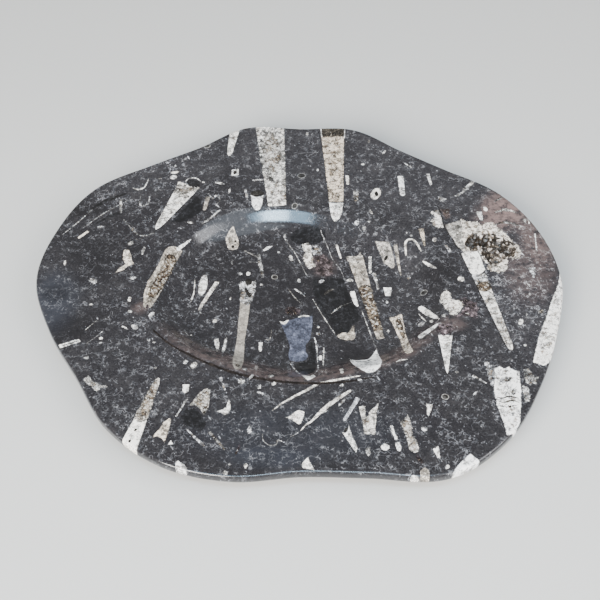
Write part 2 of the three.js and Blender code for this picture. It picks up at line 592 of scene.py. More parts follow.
@dataclass
class FossilBed:
    """Lays fossils into as few layers as keep their zones apart.

    A layer holds, at each vertex, the coordinates of the one fossil whose zone the vertex is in.
    They are evenly graded over a zone, so a narrow fossil stays sharp between vertices. A fossil
    that lies over another goes into a higher layer, and the higher layer is the one seen.
    """

    fossils: list[Fossil]

    def level(self, nearest: list[Array], gap: Array) -> int:
        """The lowest layer that a fossil can lie in: above those it touches, with its zone free.

        Args:
            nearest: For each layer, how far each vertex lies from the fossils in it.
            gap: How far each vertex lies outside the new fossil.

        Returns:
            The layer's number, one past the last if none is free.
        """
        level = 0
        for number, gaps in enumerate(nearest):
            if np.any((gap <= TOUCHING) & (gaps <= TOUCHING)):
                level = number + 1
        zone = gap <= ZONE_MARGIN
        while level < len(nearest) and np.any(zone & (nearest[level] <= ZONE_MARGIN + ZONE_SPACE)):
            level += 1
        return level

    def lay(self, spots: Array) -> Array:
        """Fills the layers for the given vertices.

        Args:
            spots: Place of each vertex in the plan.

        Returns:
            For each layer, lowest first, and each vertex, four channels of four values.
        """
        layers: list[Array] = []
        nearest: list[Array] = []
        seed = 0.0
        for fossil in self.fossils:
            if not fossil.within:
                seed = (seed + GOLDEN_SHARE) % 1
            rows = fossil.form.near(spots, ZONE_MARGIN + ZONE_SPACE)
            if not len(rows):
                continue
            fields = fossil.form.fields(spots[rows])
            level = self.level([gaps[rows] for gaps in nearest], fields.gap)
            if level == len(layers):
                layers.extend(blank_layers(1, len(spots)))
                nearest.append(np.full(len(spots), NOTHING_NEAR, np.float32))
            nearest[level][rows] = np.minimum(nearest[level][rows], fields.gap)
            zone = fields.gap <= ZONE_MARGIN
            layer, inside, fill = layers[level], rows[zone], fossil.filling.value
            layer[inside, 0, 0] = fields.along[zone]
            layer[inside, 0, 1] = fields.across[zone]
            layer[inside, 0, 2:] = fields.wide, fields.long
            layer[inside, 1] = fields.cap_back, fields.cap_front, seed, 1
            layer[inside, 2] = fill.tone, fill.warmth, fill.grain, fill.rim
            layer[inside, 3] = fill.septa, fill.lines, fill.core, fill.ragged
        return np.stack(layers)


# -------------------- soft zones of the stone


class Tinge(Enum):
    """What a soft zone does to the dark stone round the fossils."""

    DARK = 0
    BROWN = 1
    BLUE = 2
    BUSY = 3


@dataclass(frozen=True)
class Zone:
    """A soft oval zone: strongest in the middle, fading out past its half-sizes."""

    tinge: Tinge
    centre: Point
    half_x: float
    half_y: float
    amount: float
    turn: float

    def strength(self, spots: Array) -> Array:
        """The amount at each place: amount * exp(-share^4), share being 1 at the half-sizes."""
        own = turned(spots, self.centre, self.turn)
        return self.amount * np.exp(-abs(own.real / self.half_x + 1j * own.imag / self.half_y) ** 4)


@dataclass(frozen=True)
class Ground:
    """The dark stone between the fossils, with its soft zones, among them painted sheen, and the near
    wall's painted reflection.
    """

    zones: tuple[Zone, ...]
    plain_busy: float = 0.42
    reflection_brown: float = 0.7
    band_middle: float = 10.5
    band_half: float = 9.5
    band_near: float = -45.0
    band_fade: float = 40.0

    def near_wall_painted_reflection(self, spots: Array) -> Array:
        """Brownness of the reddish band on the near wall of the basin, fading at its two ends: a painted
        reflection of the dark brown surroundings mirrored in this wall.
        """
        across = np.exp(-(((SLAB.basin.inset(spots) - self.band_middle) / self.band_half) ** 4))
        return self.reflection_brown * across * np.clip((self.band_near - spots.imag) / self.band_fade, 0, 1)

    def shades(self, spots: Array) -> Array:
        """Dark, brown, blue and busy amounts at each place, below 1. Less than 0 dark is paler: a painted
        sheen. Blue is a painted bluish sheen, and brown holds stains and the near wall's painted
        reflection.

        Args:
            spots: Places in the plan.

        Returns:
            Four amounts a place.
        """
        shades = np.zeros((len(spots), 4), np.float32)
        shades[:, Tinge.BUSY.value] = self.plain_busy
        for zone in self.zones:
            shades[:, zone.tinge.value] += zone.strength(spots)
        # The near wall's band is painted reflection, added to the brown stains.
        shades[:, Tinge.BROWN.value] += self.near_wall_painted_reflection(spots)
        return np.clip(shades, (-1, 0, 0, 0), 1)


# -------------------- meshes


FLAT_MAP = "OFBake"
GROUND_CHANNEL = "ground"
FACE_CHANNEL = "face"


def grid_over_disc(count: int) -> tuple[Array, Array]:
    """Lays a square grid over a disc so that each square ring becomes a round one.

    share is the larger of |u| and |v|; the angle grows evenly along each side of the ring.

    Args:
        count: Cells along one side.

    Returns:
        Share of the radius and angle of each of the (count + 1) squared points, row by row.
    """
    line = np.linspace(-1, 1, count + 1)
    u, v = np.meshgrid(line, line)
    share = np.maximum(abs(u), abs(v))
    scale = np.where(share == 0, 1, share)
    a, b = u / scale, v / scale
    sides = np.where(a >= 0, b, 4 - b)
    ends = np.where(b >= 0, 2 - a, 6 + a)
    angle = np.where(abs(a) >= abs(b), sides, ends) * math.pi / 4
    return share.ravel(), angle.ravel()


def grid_faces(count: int, upwards: bool) -> Array:
    """Corner numbers of the grid's cells, turned to face up or down.

    Args:
        count: Cells along one side.
        upwards: Whether the faces look up.

    Returns:
        Four point numbers a face.
    """
    number = np.arange((count + 1) ** 2).reshape(count + 1, count + 1)
    corners = [number[:-1, :-1], number[:-1, 1:], number[1:, 1:], number[1:, :-1]]
    faces = np.stack([c.ravel() for c in corners], 1)
    return faces if upwards else faces[:, ::-1]


def grid_border(count: int) -> Array:
    """Point numbers round the grid's border, counter-clockwise from the corner at -45 degrees."""
    number = np.arange((count + 1) ** 2).reshape(count + 1, count + 1)
    return np.concatenate([number[:-1, -1], number[-1, :0:-1], number[:0:-1, 0], number[0, :-1]])


def added(name: str, data: bpy.types.ID) -> bpy.types.Object:
    """Makes an object and puts it into the scene.

    Args:
        name: The object's name.
        data: Its mesh, light or camera.

    Returns:
        The object.
    """
    thing = bpy.data.objects.new(name, data)
    bpy.context.scene.collection.objects.link(thing)
    return thing


@dataclass
class Skin:
    """The points, faces and flat map of a piece, gathered part by part."""

    points: list[Array] = field(default_factory=list)
    faces: list[Array] = field(default_factory=list)
    maps: list[Array] = field(default_factory=list)
    count: int = 0

    def add_points(self, spots: Array, height: Array | float) -> int:
        """Adds points at places in the plan.

        Args:
            spots: Places in the plan.
            height: Height of each, or of all of them.

        Returns:
            Number of the first new point.
        """
        first = self.count
        heights = np.broadcast_to(height, spots.shape)
        self.points.append(np.stack([spots.real, spots.imag, heights], 1))
        self.count += len(spots)
        return first

    def add_faces(self, faces: Array, flat: Array) -> None:
        """Adds faces of one kind, with the flat-map place of each corner."""
        self.faces.append(faces)
        self.maps.append(flat)

    def spots(self) -> Array:
        """Every point's place in the plan."""
        return np.vstack(self.points)[:, :2] @ (1, 1j)

    def build(self, name: str) -> bpy.types.Object:
        """Makes the mesh and its object, in metres, with the flat map on it.

        Args:
            name: Name of the mesh and the object.

        Returns:
            The new object.
        """
        mesh = bpy.data.meshes.new(name)
        faces = [face for group in self.faces for face in group.tolist()]
        mesh.from_pydata((np.vstack(self.points) * MM).tolist(), [], faces)
        flat = mesh.uv_layers.new(name=FLAT_MAP)
        places = np.vstack([group.reshape(-1, 2) for group in self.maps])
        flat.data.foreach_set("uv", places.astype(np.float32).ravel())
        return added(name, mesh)


def write_stone(mesh: bpy.types.Mesh, layers: Array, shades: Array, face: Array) -> None:
    """Writes the fossil layers, the soft zones and the face values that the finish reads.

    Args:
        mesh: The piece's mesh.
        layers: Fossil layers, lowest first.
        shades: Dark, brown, blue and busy amounts.
        face: Polish, crystal amount, depth in a hollow, which darkens the crystals as painted shade, and a
            spare value.
    """
    channels = {
        f"{span}_{k}": layer[:, number]
        for k, layer in enumerate(layers)
        for number, span in enumerate(LAYER_SPAN)
    }
    for name, values in (*channels.items(), (GROUND_CHANNEL, shades), (FACE_CHANNEL, face)):
        channel = mesh.attributes.new(name, "FLOAT_COLOR", "POINT")
        channel.data.foreach_set("color", values.astype(np.float32).ravel())


@dataclass
class Plate:
    """The polished slab: face, edge and underside in one closed surface."""

    form: SlabForm
    bed: FossilBed
    under_bed: FossilBed
    ground: Ground
    cells: int = 264
    map_scale: float = 0.78 / 458
    under_scale: float = 0.26 / 458
    map_margin: float = 0.006
    map_half: Point = (229, 200)
    edge_sections: int = 3
    edge_map_rows: float = 0.024
    map_across: float = 0.78
    lid_sink: float = 9.0
    under_within: float = 0.988

    def sheet(self, cells: int, arris: float, within: float) -> tuple[Array, Array]:
        """A grid spread over the outline less its arris.

        Args:
            cells: Cells along one side.
            arris: Width of the arris.
            within: Share of the way out that the grid covers.

        Returns:
            Places in the plan, and the share of the way from the centre to the outline.
        """
        share, angle = grid_over_disc(cells)
        reach = self.form.outline.reach(angle, arris + self.form.clearance)
        centre = complex(*self.form.outline.centre)
        return centre + share * within * reach * np.exp(1j * angle), share * within

    def edge_points(self) -> list[tuple[Array, Array]]:
        """Rows of points round the rim, from the arris of the face to the belly.

        Returns:
            Places and heights of the points of each row.
        """
        angle = -math.pi / 4 + np.arange(4 * self.cells) * FULL_TURN / (4 * self.cells)
        rows = []
        for inset, height in self.form.edge_rows():
            spots = self.form.outline.at(angle, inset + self.form.clearance)
            fade = np.clip((height - self.form.height + self.form.edge) / self.form.edge, 0, 1)
            rows.append((spots, height - self.form.wave(spots) * fade))
        return rows

    def map_place(self, spots: Array, scale: float, top: bool) -> Array:
        """Flat-map place seen from above, in the upper or lower left of the map.

        Args:
            spots: Places in the plan.
            scale: Map sides to the millimetre.
            top: Whether it lies in the upper left.

        Returns:
            Two map coordinates a point.
        """
        wide, tall = (side * scale + self.map_margin for side in self.map_half)
        up = (1 - tall if top else tall) + spots.imag * scale
        return np.stack([wide + spots.real * scale, up], -1)

    def edge_map(self, row: int, rows: int) -> Array:
        """Flat-map corners of one row of edge faces, cut into sections one above another.

        Args:
            row: Number of the row, from the face.
            rows: How many rows there are.

        Returns:
            Two map coordinates for each corner of each face.
        """
        section_length = 4 * self.cells // self.edge_sections
        section, place = np.divmod(np.arange(4 * self.cells), section_length)
        under = 2 * self.map_half[1] * self.under_scale
        floor = 2 * self.map_margin + under + section * self.edge_map_rows
        strip = self.edge_map_rows * 0.8
        upper = floor + strip * (1 - row / rows)
        lower = floor + strip * (1 - (row + 1) / rows)
        step = self.map_across / section_length
        left = self.map_margin + place * step
        corners = [(left, upper), (left, lower), (left + step, lower), (left + step, upper)]
        return np.stack([np.stack(c, -1) for c in corners], 1)

    def build(self) -> bpy.types.Object:
        """Builds the closed mesh with its flat map and its channels.

        Returns:
            The plate's object.
        """
        skin = Skin()
        face, _ = self.sheet(self.cells, self.form.top_arris, 1)
        sink = np.where(POCKET.share(face) < 1, self.lid_sink, 0)
        skin.add_points(face, self.form.top(face) - sink)
        faces = grid_faces(self.cells, upwards=True)
        skin.add_faces(faces, self.map_place(face, self.map_scale, True)[faces])

        ring = grid_border(self.cells)
        edge = self.edge_points()
        for row, points in enumerate(edge):
            below = skin.add_points(*points) + np.arange(len(ring))
            quads = [ring, below, np.roll(below, -1), np.roll(ring, -1)]
            skin.add_faces(np.stack(quads, 1), self.edge_map(row, len(edge)))
            ring = below

        half = self.cells // 2
        under, share = self.sheet(half, self.form.under_arris, self.under_within)
        first = skin.add_points(under, self.form.belly(share))
        border = grid_border(half)
        under_map = self.map_place(skin.spots(), self.under_scale, False)
        even, odd, after = ring[0::2], ring[1::2], np.roll(ring[0::2], -1)
        low, low_after = border + first, np.roll(border, -1) + first
        for trio in ((even, low, odd), (odd, low, low_after), (odd, low_after, after)):
            corners = np.stack(trio, 1)
            skin.add_faces(corners, under_map[corners])
        faces = grid_faces(half, upwards=False) + first
        skin.add_faces(faces, under_map[faces])

        piece = skin.build("polished_plate")
        self.write(piece.data, skin.spots(), first)
        piece.data.polygons.foreach_set("use_smooth", np.ones(len(piece.data.polygons), bool))
        return piece

    def write(self, mesh: bpy.types.Mesh, spots: Array, first_under: int) -> None:
        """Lays the fossils over the face and edge, and others over the underside.

        Args:
            mesh: The mesh of the plate.
            spots: Place of each of its points in the plan.
            first_under: Number of the first point of the underside.
        """
        last_row = first_under - 4 * self.cells
        upper = self.bed.lay(spots[:last_row])
        lower = self.under_bed.lay(spots[first_under:])
        layers = join_layers([upper, blank_layers(0, 4 * self.cells), lower])
        face = np.zeros((len(spots), 4), np.float32)
        face[:first_under, 0] = 1
        write_stone(mesh, layers, self.ground.shades(spots), face)


@dataclass
class Crust:
    """The calcite round the opening: a lid flush with the face, with crystal-lined hollows."""

    form: SlabForm
    bed: FossilBed
    ground: Ground
    pocket: Lump = POCKET
    hollows: tuple[Lump, ...] = HOLLOWS
    cells: int = 176
    overlap: float = 3.0
    proud: float = 0.02
    lap_depth: float = 0.25
    wall: float = 1.0
    seed: int = 11
    crystals: int = 46
    facets: int = 6
    field: Form = Patch((
        (148, 37), (150, 46), (156, 53), (164, 52), (171, 56), (178, 50), (186, 46), (193, 40),
        (194, 34), (190, 24), (184, 22), (176, 16), (168, 14), (163, 22), (160, 31), (152, 29),
    ))
    field_crystals: int = 420
    field_depth: float = 2.0
    field_fade: float = 4.0
    least_depth: float = 0.04
    crystals_short: float = 0.35
    crystal_edge: float = 0.3
    deepest: float = 6.0
    bed_gap: float = 0.6
    map_half: float = 0.34
    map_middle: float = 0.65
    map_under: float = 0.3
    map_margin: float = 3.0

    def pyramids(self, spots: Array, seats: Array, tops: Array, seed: int) -> Array:
        """Height of six-sided crystals at each place, the highest one counting.

        Each crystal is a pyramid: its top less a slope times the largest of the distances to its
        six sides.

        Args:
            spots: Places in the plan.
            seats: Place of each crystal.
            tops: Height of each crystal's tip.
            seed: Seed of the slopes and turns.

        Returns:
            Height above the wall, at least 0.
        """
        rng = np.random.default_rng(seed)
        slope = rng.uniform(0.6, 2.2, len(tops))
        spin = rng.uniform(0, FULL_TURN, len(tops))
        rise = np.zeros(len(spots))
        for k, seat in enumerate(seats):
            sides = spin[k] + np.arange(self.facets) * FULL_TURN / self.facets
            off = ((spots - seat)[:, None] * np.exp(-1j * sides)).real
            rise = np.maximum(rise, tops[k] - slope[k] * off.max(1))
        return rise

    def crystal_rise(self, spots: Array, hollow: Lump, number: int) -> Array:
        """Height of the crystals above a hollow's wall.

        Args:
            spots: Places in the plan.
            hollow: The hollow.
            number: Which hollow it is, for the seed.

        Returns:
            Height above the wall, at least 0.
        """
        rng = np.random.default_rng(self.seed + number)
        angle = rng.uniform(0, FULL_TURN, self.crystals)
        reach = np.sqrt(rng.uniform(0, 1.1, self.crystals))
        own = reach * (hollow.long * np.cos(angle) + 1j * hollow.wide * np.sin(angle))
        seats = placed(own, hollow.centre, hollow.turn)
        return self.pyramids(spots, seats, rng.uniform(0.4, 1.8, self.crystals), self.seed + number)

    def rough_field(self, spots: Array) -> Array:
        """Depth of the rough crystal ground between the hollows.

        It sinks evenly from the field's outline to the full depth, less the crystals on it.

        Args:
            spots: Places in the plan.

        Returns:
            Depth below the face, 0 outside the field.
        """
        low, high = self.field.box()
        rng = np.random.default_rng(self.seed * 7)
        count = self.field_crystals
        seats = rng.uniform(low.real, high.real, count) + 1j * rng.uniform(low.imag, high.imag, count)
        inside = -self.field.fields(spots).gap
        rows = np.flatnonzero(inside > 0)
        tops = rng.uniform(0.2, 1.7, count)
        rise = self.pyramids(spots[rows], seats, tops, self.seed * 7)
        depth = np.zeros(len(spots))
        sunk = self.field_depth * np.clip(inside[rows] / self.field_fade + 0.25, 0, 1)
        depth[rows] = np.clip(sunk - rise, self.least_depth, None)
        return depth

    def depth(self, spots: Array) -> Array:
        """Depth of the hollows and of the rough field below the face.

        A hollow's wall is an ellipsoid: depth = deep * sqrt(1 - share^2). Crystals stand on it
        and stop short of the face. Between the hollows lies the rough field.

        Args:
            spots: Places in the plan.

        Returns:
            Depths, 0 on the polished part.
        """
        depth = self.rough_field(spots)
        for number, hollow in enumerate(self.hollows):
            share = hollow.share(spots)
            rows = np.flatnonzero(share < 1)
            bowl = hollow.deep * np.sqrt(1 - share[rows] ** 2)
            crystals = bowl - self.crystal_rise(spots[rows], hollow, number)
            crystals = np.maximum(crystals, np.minimum(self.crystals_short, bowl))
            depth[rows] = np.maximum(depth[rows], crystals)
        return depth

    def underneath(self, spots: Array, top: Array) -> Array:
        """Height of the lid's underside: a bowl within the pocket, thin where it laps the face.

        Args:
            spots: Places in the plan.
            top: Height of the lid above each place.

        Returns:
            Heights.
        """
        inner = self.pocket.share(spots)
        bowl = (self.pocket.deep - self.bed_gap) * np.sqrt(np.clip(1 - inner**2, 0, 1))
        level = self.form.height - np.maximum(bowl, self.lap_depth + self.form.wave(spots))
        return np.minimum(level, top - np.where(inner < 1, self.wall, self.lap_depth))

    def build(self) -> bpy.types.Object:
        """Builds the closed lid with its channels, its crystal faces left flat.

        Returns:
            The crust's object.
        """
        share, angle = grid_over_disc(self.cells)
        rim, middle = self.pocket.rim(angle, self.overlap), complex(*self.pocket.centre)
        spots = middle + share * (rim - middle)
        depth = self.depth(spots)
        top = self.form.top(spots) + self.proud - depth
        border = grid_border(self.cells)
        skin = Skin()
        skin.add_points(spots, top)
        first = skin.add_points(spots, self.underneath(spots, top))
        flat = self.flat_map(spots)
        above = grid_faces(self.cells, upwards=True)
        below = grid_faces(self.cells, upwards=False)
        skin.add_faces(above, flat[above])
        skin.add_faces(below + first, flat[below] * self.map_under)
        after = np.roll(border, -1)
        wall_map = flat[np.stack([border, border, after, after], 1)] * self.map_under
        skin.add_faces(np.stack([border, border + first, after + first, after], 1), wall_map)
        piece = skin.build("calcite_lining")

        count = len(spots)
        layers = join_layers([self.bed.lay(spots), blank_layers(0, count)])
        face = np.zeros((2 * count, 4), np.float32)
        face[:count, 0] = 1
        face[:count, 1] = np.clip(depth / self.crystal_edge, 0, 1)
        # The depth also darkens the crystals in the finish as painted shade.
        face[:count, 2] = depth / self.deepest
        write_stone(piece.data, layers, self.ground.shades(skin.spots()), face)
        smooth = np.zeros(len(piece.data.polygons), bool)
        smooth[: len(above)] = depth[above].max(1) <= 0
        piece.data.polygons.foreach_set("use_smooth", smooth)
        return piece

    def flat_map(self, spots: Array) -> Array:
        """Flat-map place: seen from above, in the upper right seven tenths of the map.

        Args:
            spots: Places in the plan.

        Returns:
            Two map coordinates a point.
        """
        reach = max(self.pocket.long, self.pocket.wide) + self.overlap + self.map_margin
        off = self.map_half * (spots - complex(*self.pocket.centre)) / reach
        return self.map_middle + np.stack([off.real, off.imag], -1)


# -------------------- the fossils of the face


def rod(
    start: Point,
    end: Point,
    start_half: float,
    end_half: float,
    filling: Filling,
    square: bool = False,
    round_start: bool = False,
) -> Fossil:
    """A straight shell from its mouth to its tip, with the half-width at each."""
    return Fossil(Rod(start, end, start_half, end_half, square, round_start), filling)


def oval(centre: Point, long_half: float, wide_half: float, turn: float, filling: Filling) -> Fossil:
    """An oval with its half-sizes and the turn of its long way."""
    return Fossil(Oval(centre, long_half, wide_half, turn), filling)


def within(fossil: Fossil) -> Fossil:
    """The same form as a region of the fossil listed before it."""
    return replace(fossil, within=True)


def thread(filling: Filling, halves: tuple[float, ...], *points: Point) -> Fossil:
    """A thin bent form through the points, with half-widths evenly spread along it."""
    return Fossil(Thread(points, halves), filling)


def patch(filling: Filling, *corners: Point) -> Fossil:
    """An uneven outline through its corners."""
    return Fossil(Patch(corners), filling)


F = Filling

CONES = [
    # far rim
    rod((-62.3, 204), (-67.3, 155), 5.6, 2.4, F.WHITE),
    rod((-29.6, 206), (-20, 88), 14.6, 8.4, F.FIBRE, square=True),
    within(oval((-26, 160), 42, 12.5, 95, F.MOTTLED)),
    rod((33, 203), (33, 182), 12.2, 11.2, F.SHADED, square=True),
    thread(F.WHITE, (0.7, 0.5), (21, 203), (22.4, 180)),
    thread(F.WHITE, (0.7, 0.5), (45.6, 200), (44.4, 180)),
    rod((33, 183), (34.6, 92.5), 11.2, 6.6, F.TAN, square=True),
    rod((34.4, 91.6), (34, 71), 6.8, 4.4, F.WHITE),
    thread(F.VOID, (0.5, 0.5), (27.3, 92.6), (34.5, 91.6), (41.8, 92.6)),
    # upper left
    rod((-103.4, 114), (-129.4, 57), 10.6, 2.4, F.WHITE),
    within(patch(F.MOTTLED, (-114, 120), (-92, 112), (-104, 96), (-111, 98), (-117, 103))),
    patch(F.SHADE, (-117, 66), (-106, 84), (-95, 100), (-91, 96), (-88, 82), (-94, 74), (-104, 66)),
    oval((-99, 117), 7.2, 5, -22, F.SHADE),
    thread(F.WHITE, (0.4, 1, 0.4), (-107, 119), (-104, 123.6), (-97, 124), (-92, 119)),
    thread(F.VOID, (0.4, 0.4), (-125, 80), (-116, 77)),
    thread(F.VOID, (0.4, 0.4), (-128, 70), (-118, 72)),
    rod((-39, 102), (-38.5, 83.5), 6.2, 4.2, F.BRIGHT),
    oval((-39, 103.5), 6.5, 4.5, 0, F.VOID),
    # left of the basin
    patch(F.CREAM, (-116, 36), (-119, 32), (-125, 10), (-131, -5), (-133, -20), (-132, -33), (-129, -36),
        (-125, -34), (-122, -25), (-118, -8), (-114, 8), (-104, 36), (-110, 38)),
    within(rod((-111.5, 29), (-127, -23), 4.6, 3.7, F.BROWN, round_start=True)),
    thread(F.WHITE, (1.8, 1.2, 0.5), (-109, 35), (-103, 42), (-97, 49)),
    oval((-128.6, -32.5), 2.4, 1.6, 90, F.RED),
    # guard in the middle of the basin
    patch(F.SHAFT, (-50.4, 8.6), (-50.8, -1.6), (-51.1, -17.3), (-52, -38), (-52.4, -54.5), (-53.5, -66.5),
        (-54.7, -81), (-54, -93.5), (-52, -98.8), (-49.5, -99.7), (-46.5, -97.6), (-45.3, -87.7),
        (-45.5, -70.5), (-45.4, -57), (-43.8, -41), (-42.7, -27), (-42, -15.9), (-40.9, -14.5), (-39, -4.5),
        (-38.2, 5.7), (-37.9, 14.5), (-39.3, 8.6), (-42, 2.8), (-47, 3.5), (-48.7, 7)),
    within(patch(F.GREY, (-53, 8), (-37, 8), (-40, -14), (-44, -20), (-51, -16))),
    oval((-44.4, 7.5), 4, 3.1, 90, F.VOID),
    patch(F.VOID, (-48.3, 0), (-46, 0.5), (-41.2, -8.5), (-43, -11.5), (-46.5, -5.5)),
    oval((-50, -93.5), 2.2, 1.7, 90, F.BROWN),
    oval((-45, 17), 2.3, 2, 90, F.BRIGHT),
    # right of the basin
    rod((50.4, 38), (69.2, -56.5), 7.3, 3.2, F.CREAM, square=True),
    patch(F.CREAM, (41.5, 38.5), (48, 38), (52, 37), (55.5, 43), (57.5, 37), (56, 30), (45, 30)),
    within(rod((57, 4), (67.6, -48), 6.4, 4.2, F.BROWN, square=True, round_start=True)),
    patch(F.BRIGHT, (44, -3), (49, -3), (52, -20), (52, -22), (48, -20), (46, -12)),
    rod((64, 37), (63.5, 17), 1.6, 1.2, F.WHITE),
    rod((67, 18), (70, -2), 1.7, 1, F.GREY),
    patch(F.TAN, (77, -33), (81, -33), (85, -31), (88, -28), (89, -32), (91, -55), (94, -80), (93, -82),
        (88, -83), (87, -80), (85, -58), (80, -40)),
    within(rod((84.6, -35), (88.5, -56), 3, 1.6, F.BROWN, round_start=True)),
    rod((121.4, -64), (119.6, -104), 6.1, 0.6, F.CHAMBERED),
    oval((121.5, -57.5), 7.4, 6.6, 0, F.ROSY),
    patch(F.BRIGHT, (41.5, -77), (44, -79), (47, -81), (57, -81), (60, -77), (63, -71), (65, -67),
        (66.5, -75), (68, -85), (68, -90), (66, -97), (61, -102), (55, -103), (50, -99), (46, -92),
        (42, -80)),
    thread(F.SHADED, (0.3, 0.7, 0.3), (46, -82), (54, -84.5), (61, -81)),
    # the crystal opening and the spear below it
    patch(F.CALCITE, (132, 63), (143, 66), (149, 70), (153, 67), (162, 67), (166, 62), (171, 66), (177, 66),
        (181, 59), (187, 50), (192, 41), (196, 37), (197, 30), (195, 22), (190, 20), (184, 22), (183, 12),
        (180, 6), (174, 5), (164, 9), (165, 14), (170, 16), (163, 17), (161, 26), (158, 33), (152, 30),
        (146, 30), (141, 38), (136, 50)),
    patch(F.GUARD, (132, 63), (140, 66), (147, 69), (148, 58), (146, 48), (148, 34), (144, 32), (141, 38),
        (136, 50)),
    patch(F.BRIGHT, (143.5, 28), (157, 33), (160, 27), (163, 8), (158, 3), (152, 2), (149, 5)),
    rod((156.4, 3), (174.6, -80), 6.4, 2.5, F.SPEAR),
    within(patch(F.GREY, (150, 3), (162, 3), (166, -10), (153, -8))),
    within(oval((159.5, -11), 6.5, 5.5, 0, F.BROWN)),
    thread(F.VOID, (0.35, 0.35), (164, -58), (173, -60)),
    thread(F.VOID, (0.35, 0.35), (169, -72.6), (177, -73.6)),
    thread(F.VOID, (0.5, 0.5, 0.4), (131, 62), (140, 37), (149.6, 2), (159, -36), (171, -80)),
    # right rim
    patch(F.CLOUDED, (228, 7), (224, -8), (216, -25), (208, -45), (199, -65), (194, -80), (190, -92),
        (199, -96), (212, -84), (219, -62), (227, -42), (233, -22), (236, -5)),
    patch(F.CLOUDED, (158, -98), (163, -96), (166, -99), (170, -96), (174, -100), (178, -101), (177, -120),
        (175, -135), (172, -150), (167, -160), (160, -162), (159, -150), (156, -135), (155, -120)),
    thread(F.SHADED, (0.3, 0.8, 0.4), (156, -126), (161, -127.5), (166, -125.5), (174, -127.5)),
    thread(F.SHADED, (0.3, 0.9, 0.3), (157, -130), (162, -131.5), (168, -129.5), (174, -131.5)),
    thread(F.RED, (0.4, 0.7, 0.4), (158, -134.5), (164, -135.5), (172, -134)),
    within(oval((165, -110), 6, 2.2, 20, F.GREY)),
    within(oval((171, -121), 3.4, 2, 70, F.DIM)),
    patch(F.GREY, (150, -91), (155, -92), (158, -100), (157, -112), (155, -118), (153, -115), (152, -105)),
    patch(F.GREY, (178, -114), (183, -116), (183, -131), (178, -131)),
    patch(F.DIM, (181, -99), (186, -98), (190, -106), (186, -116), (181, -112)),
    # near rim
    rod((-131.5, -178), (-112.4, -107.5), 7.5, 2.2, F.BRIGHT),
    within(rod((-124, -150), (-112.8, -108), 6, 2.2, F.SPECKLED, round_start=True)),
    oval((-126, -157), 1.3, 0.9, 40, F.VOID),
    oval((-129.5, -167), 1.5, 1, 70, F.VOID),
    patch(F.SPECKLED, (-74, -117.5), (-70.5, -119), (-70, -127), (-71, -137), (-73, -143), (-75, -143),
        (-77, -138), (-82, -134), (-87, -135.5), (-83, -129), (-78, -121)),
    patch(F.SHADE, (-92, -138), (-87, -138), (-82, -137), (-77, -141), (-74, -146), (-71, -152),
        (-75, -158), (-84, -157), (-92, -150)),
    patch(F.PINK, (-101, -146), (-99, -147), (-100.5, -158), (-102.5, -169), (-105, -165), (-109, -163),
        (-113.5, -164.5), (-108, -156), (-105, -150)),
    patch(F.WHITE, (-55.5, -127), (-54, -131), (-53, -138), (-55, -142), (-57.5, -144), (-60, -142),
        (-65, -139.5), (-60, -138), (-57, -136), (-56, -131)),
    thread(F.PINK, (0.4, 1.1, 1.4, 1.2, 0.5), (-21, -139.5), (-12, -131.5), (-3, -125.5), (8, -118.5),
        (16, -113.5), (27, -110.5), (40, -107.5), (50, -105.5)),
    thread(F.WHITE, (0.4, 1, 1.9, 1.8, 1.1), (1, -158.5), (6, -152), (10, -149), (20, -137.5),
        (30, -128.5), (42, -119.5)),
    thread(F.VEIN, (0.4, 0.5, 0.3), (12, -146), (18, -142), (24, -138)),
    thread(F.GREY, (0.3, 0.5, 0.3), (-12, -169), (-6, -164), (1, -158)),
    patch(F.WHITE, (-12, -145.5), (-8, -145), (-4, -141), (0, -138.5), (5, -140.5), (3.5, -146), (2, -151),
        (0, -152.5), (-3, -150), (-6, -147.5)),
    patch(F.FIBRE, (47, -135), (52.5, -134.5), (52, -144), (54, -145), (55, -140), (58, -137), (60, -136),
        (63.5, -129), (61, -142), (60, -152), (59, -161.5), (50, -161), (50, -152), (48.5, -145)),
    rod((47, -127), (35, -149), 2, 1.4, F.COOL),
    rod((37, -128), (31, -135), 0.9, 0.6, F.GREY),
    patch(F.WHITE, (32.5, -158), (36, -160), (39, -152), (41, -162), (45, -172), (44, -179), (38, -168)),
    oval((36.5, -157), 2.6, 1.6, 60, F.VOID),
    patch(F.WHITE, (70.5, -153), (73, -153), (74.5, -160), (76.5, -165), (74, -167), (71.5, -159)),
    patch(F.WHITE, (73, -168), (77, -168), (78.5, -172), (77.5, -177), (75, -176)),
    patch(F.SPECKLED, (77.5, -148), (80.5, -148.5), (82, -146), (84, -146), (85, -141), (86.5, -147),
        (88, -155), (88, -162), (91, -167), (92, -176), (88, -178), (84, -175), (83, -166), (81, -158),
        (79, -152)),
    oval((91.5, -183.5), 4, 2.2, -55, F.RED),
    patch(F.BRIGHT, (99.5, -131), (102, -133), (105.5, -133), (104, -139), (101.5, -145), (100, -143),
        (100.5, -137)),
    patch(F.WHITE, (101.5, -173), (104, -174), (106.5, -170), (107.5, -178), (107, -184), (105, -182),
        (103, -177)),
]

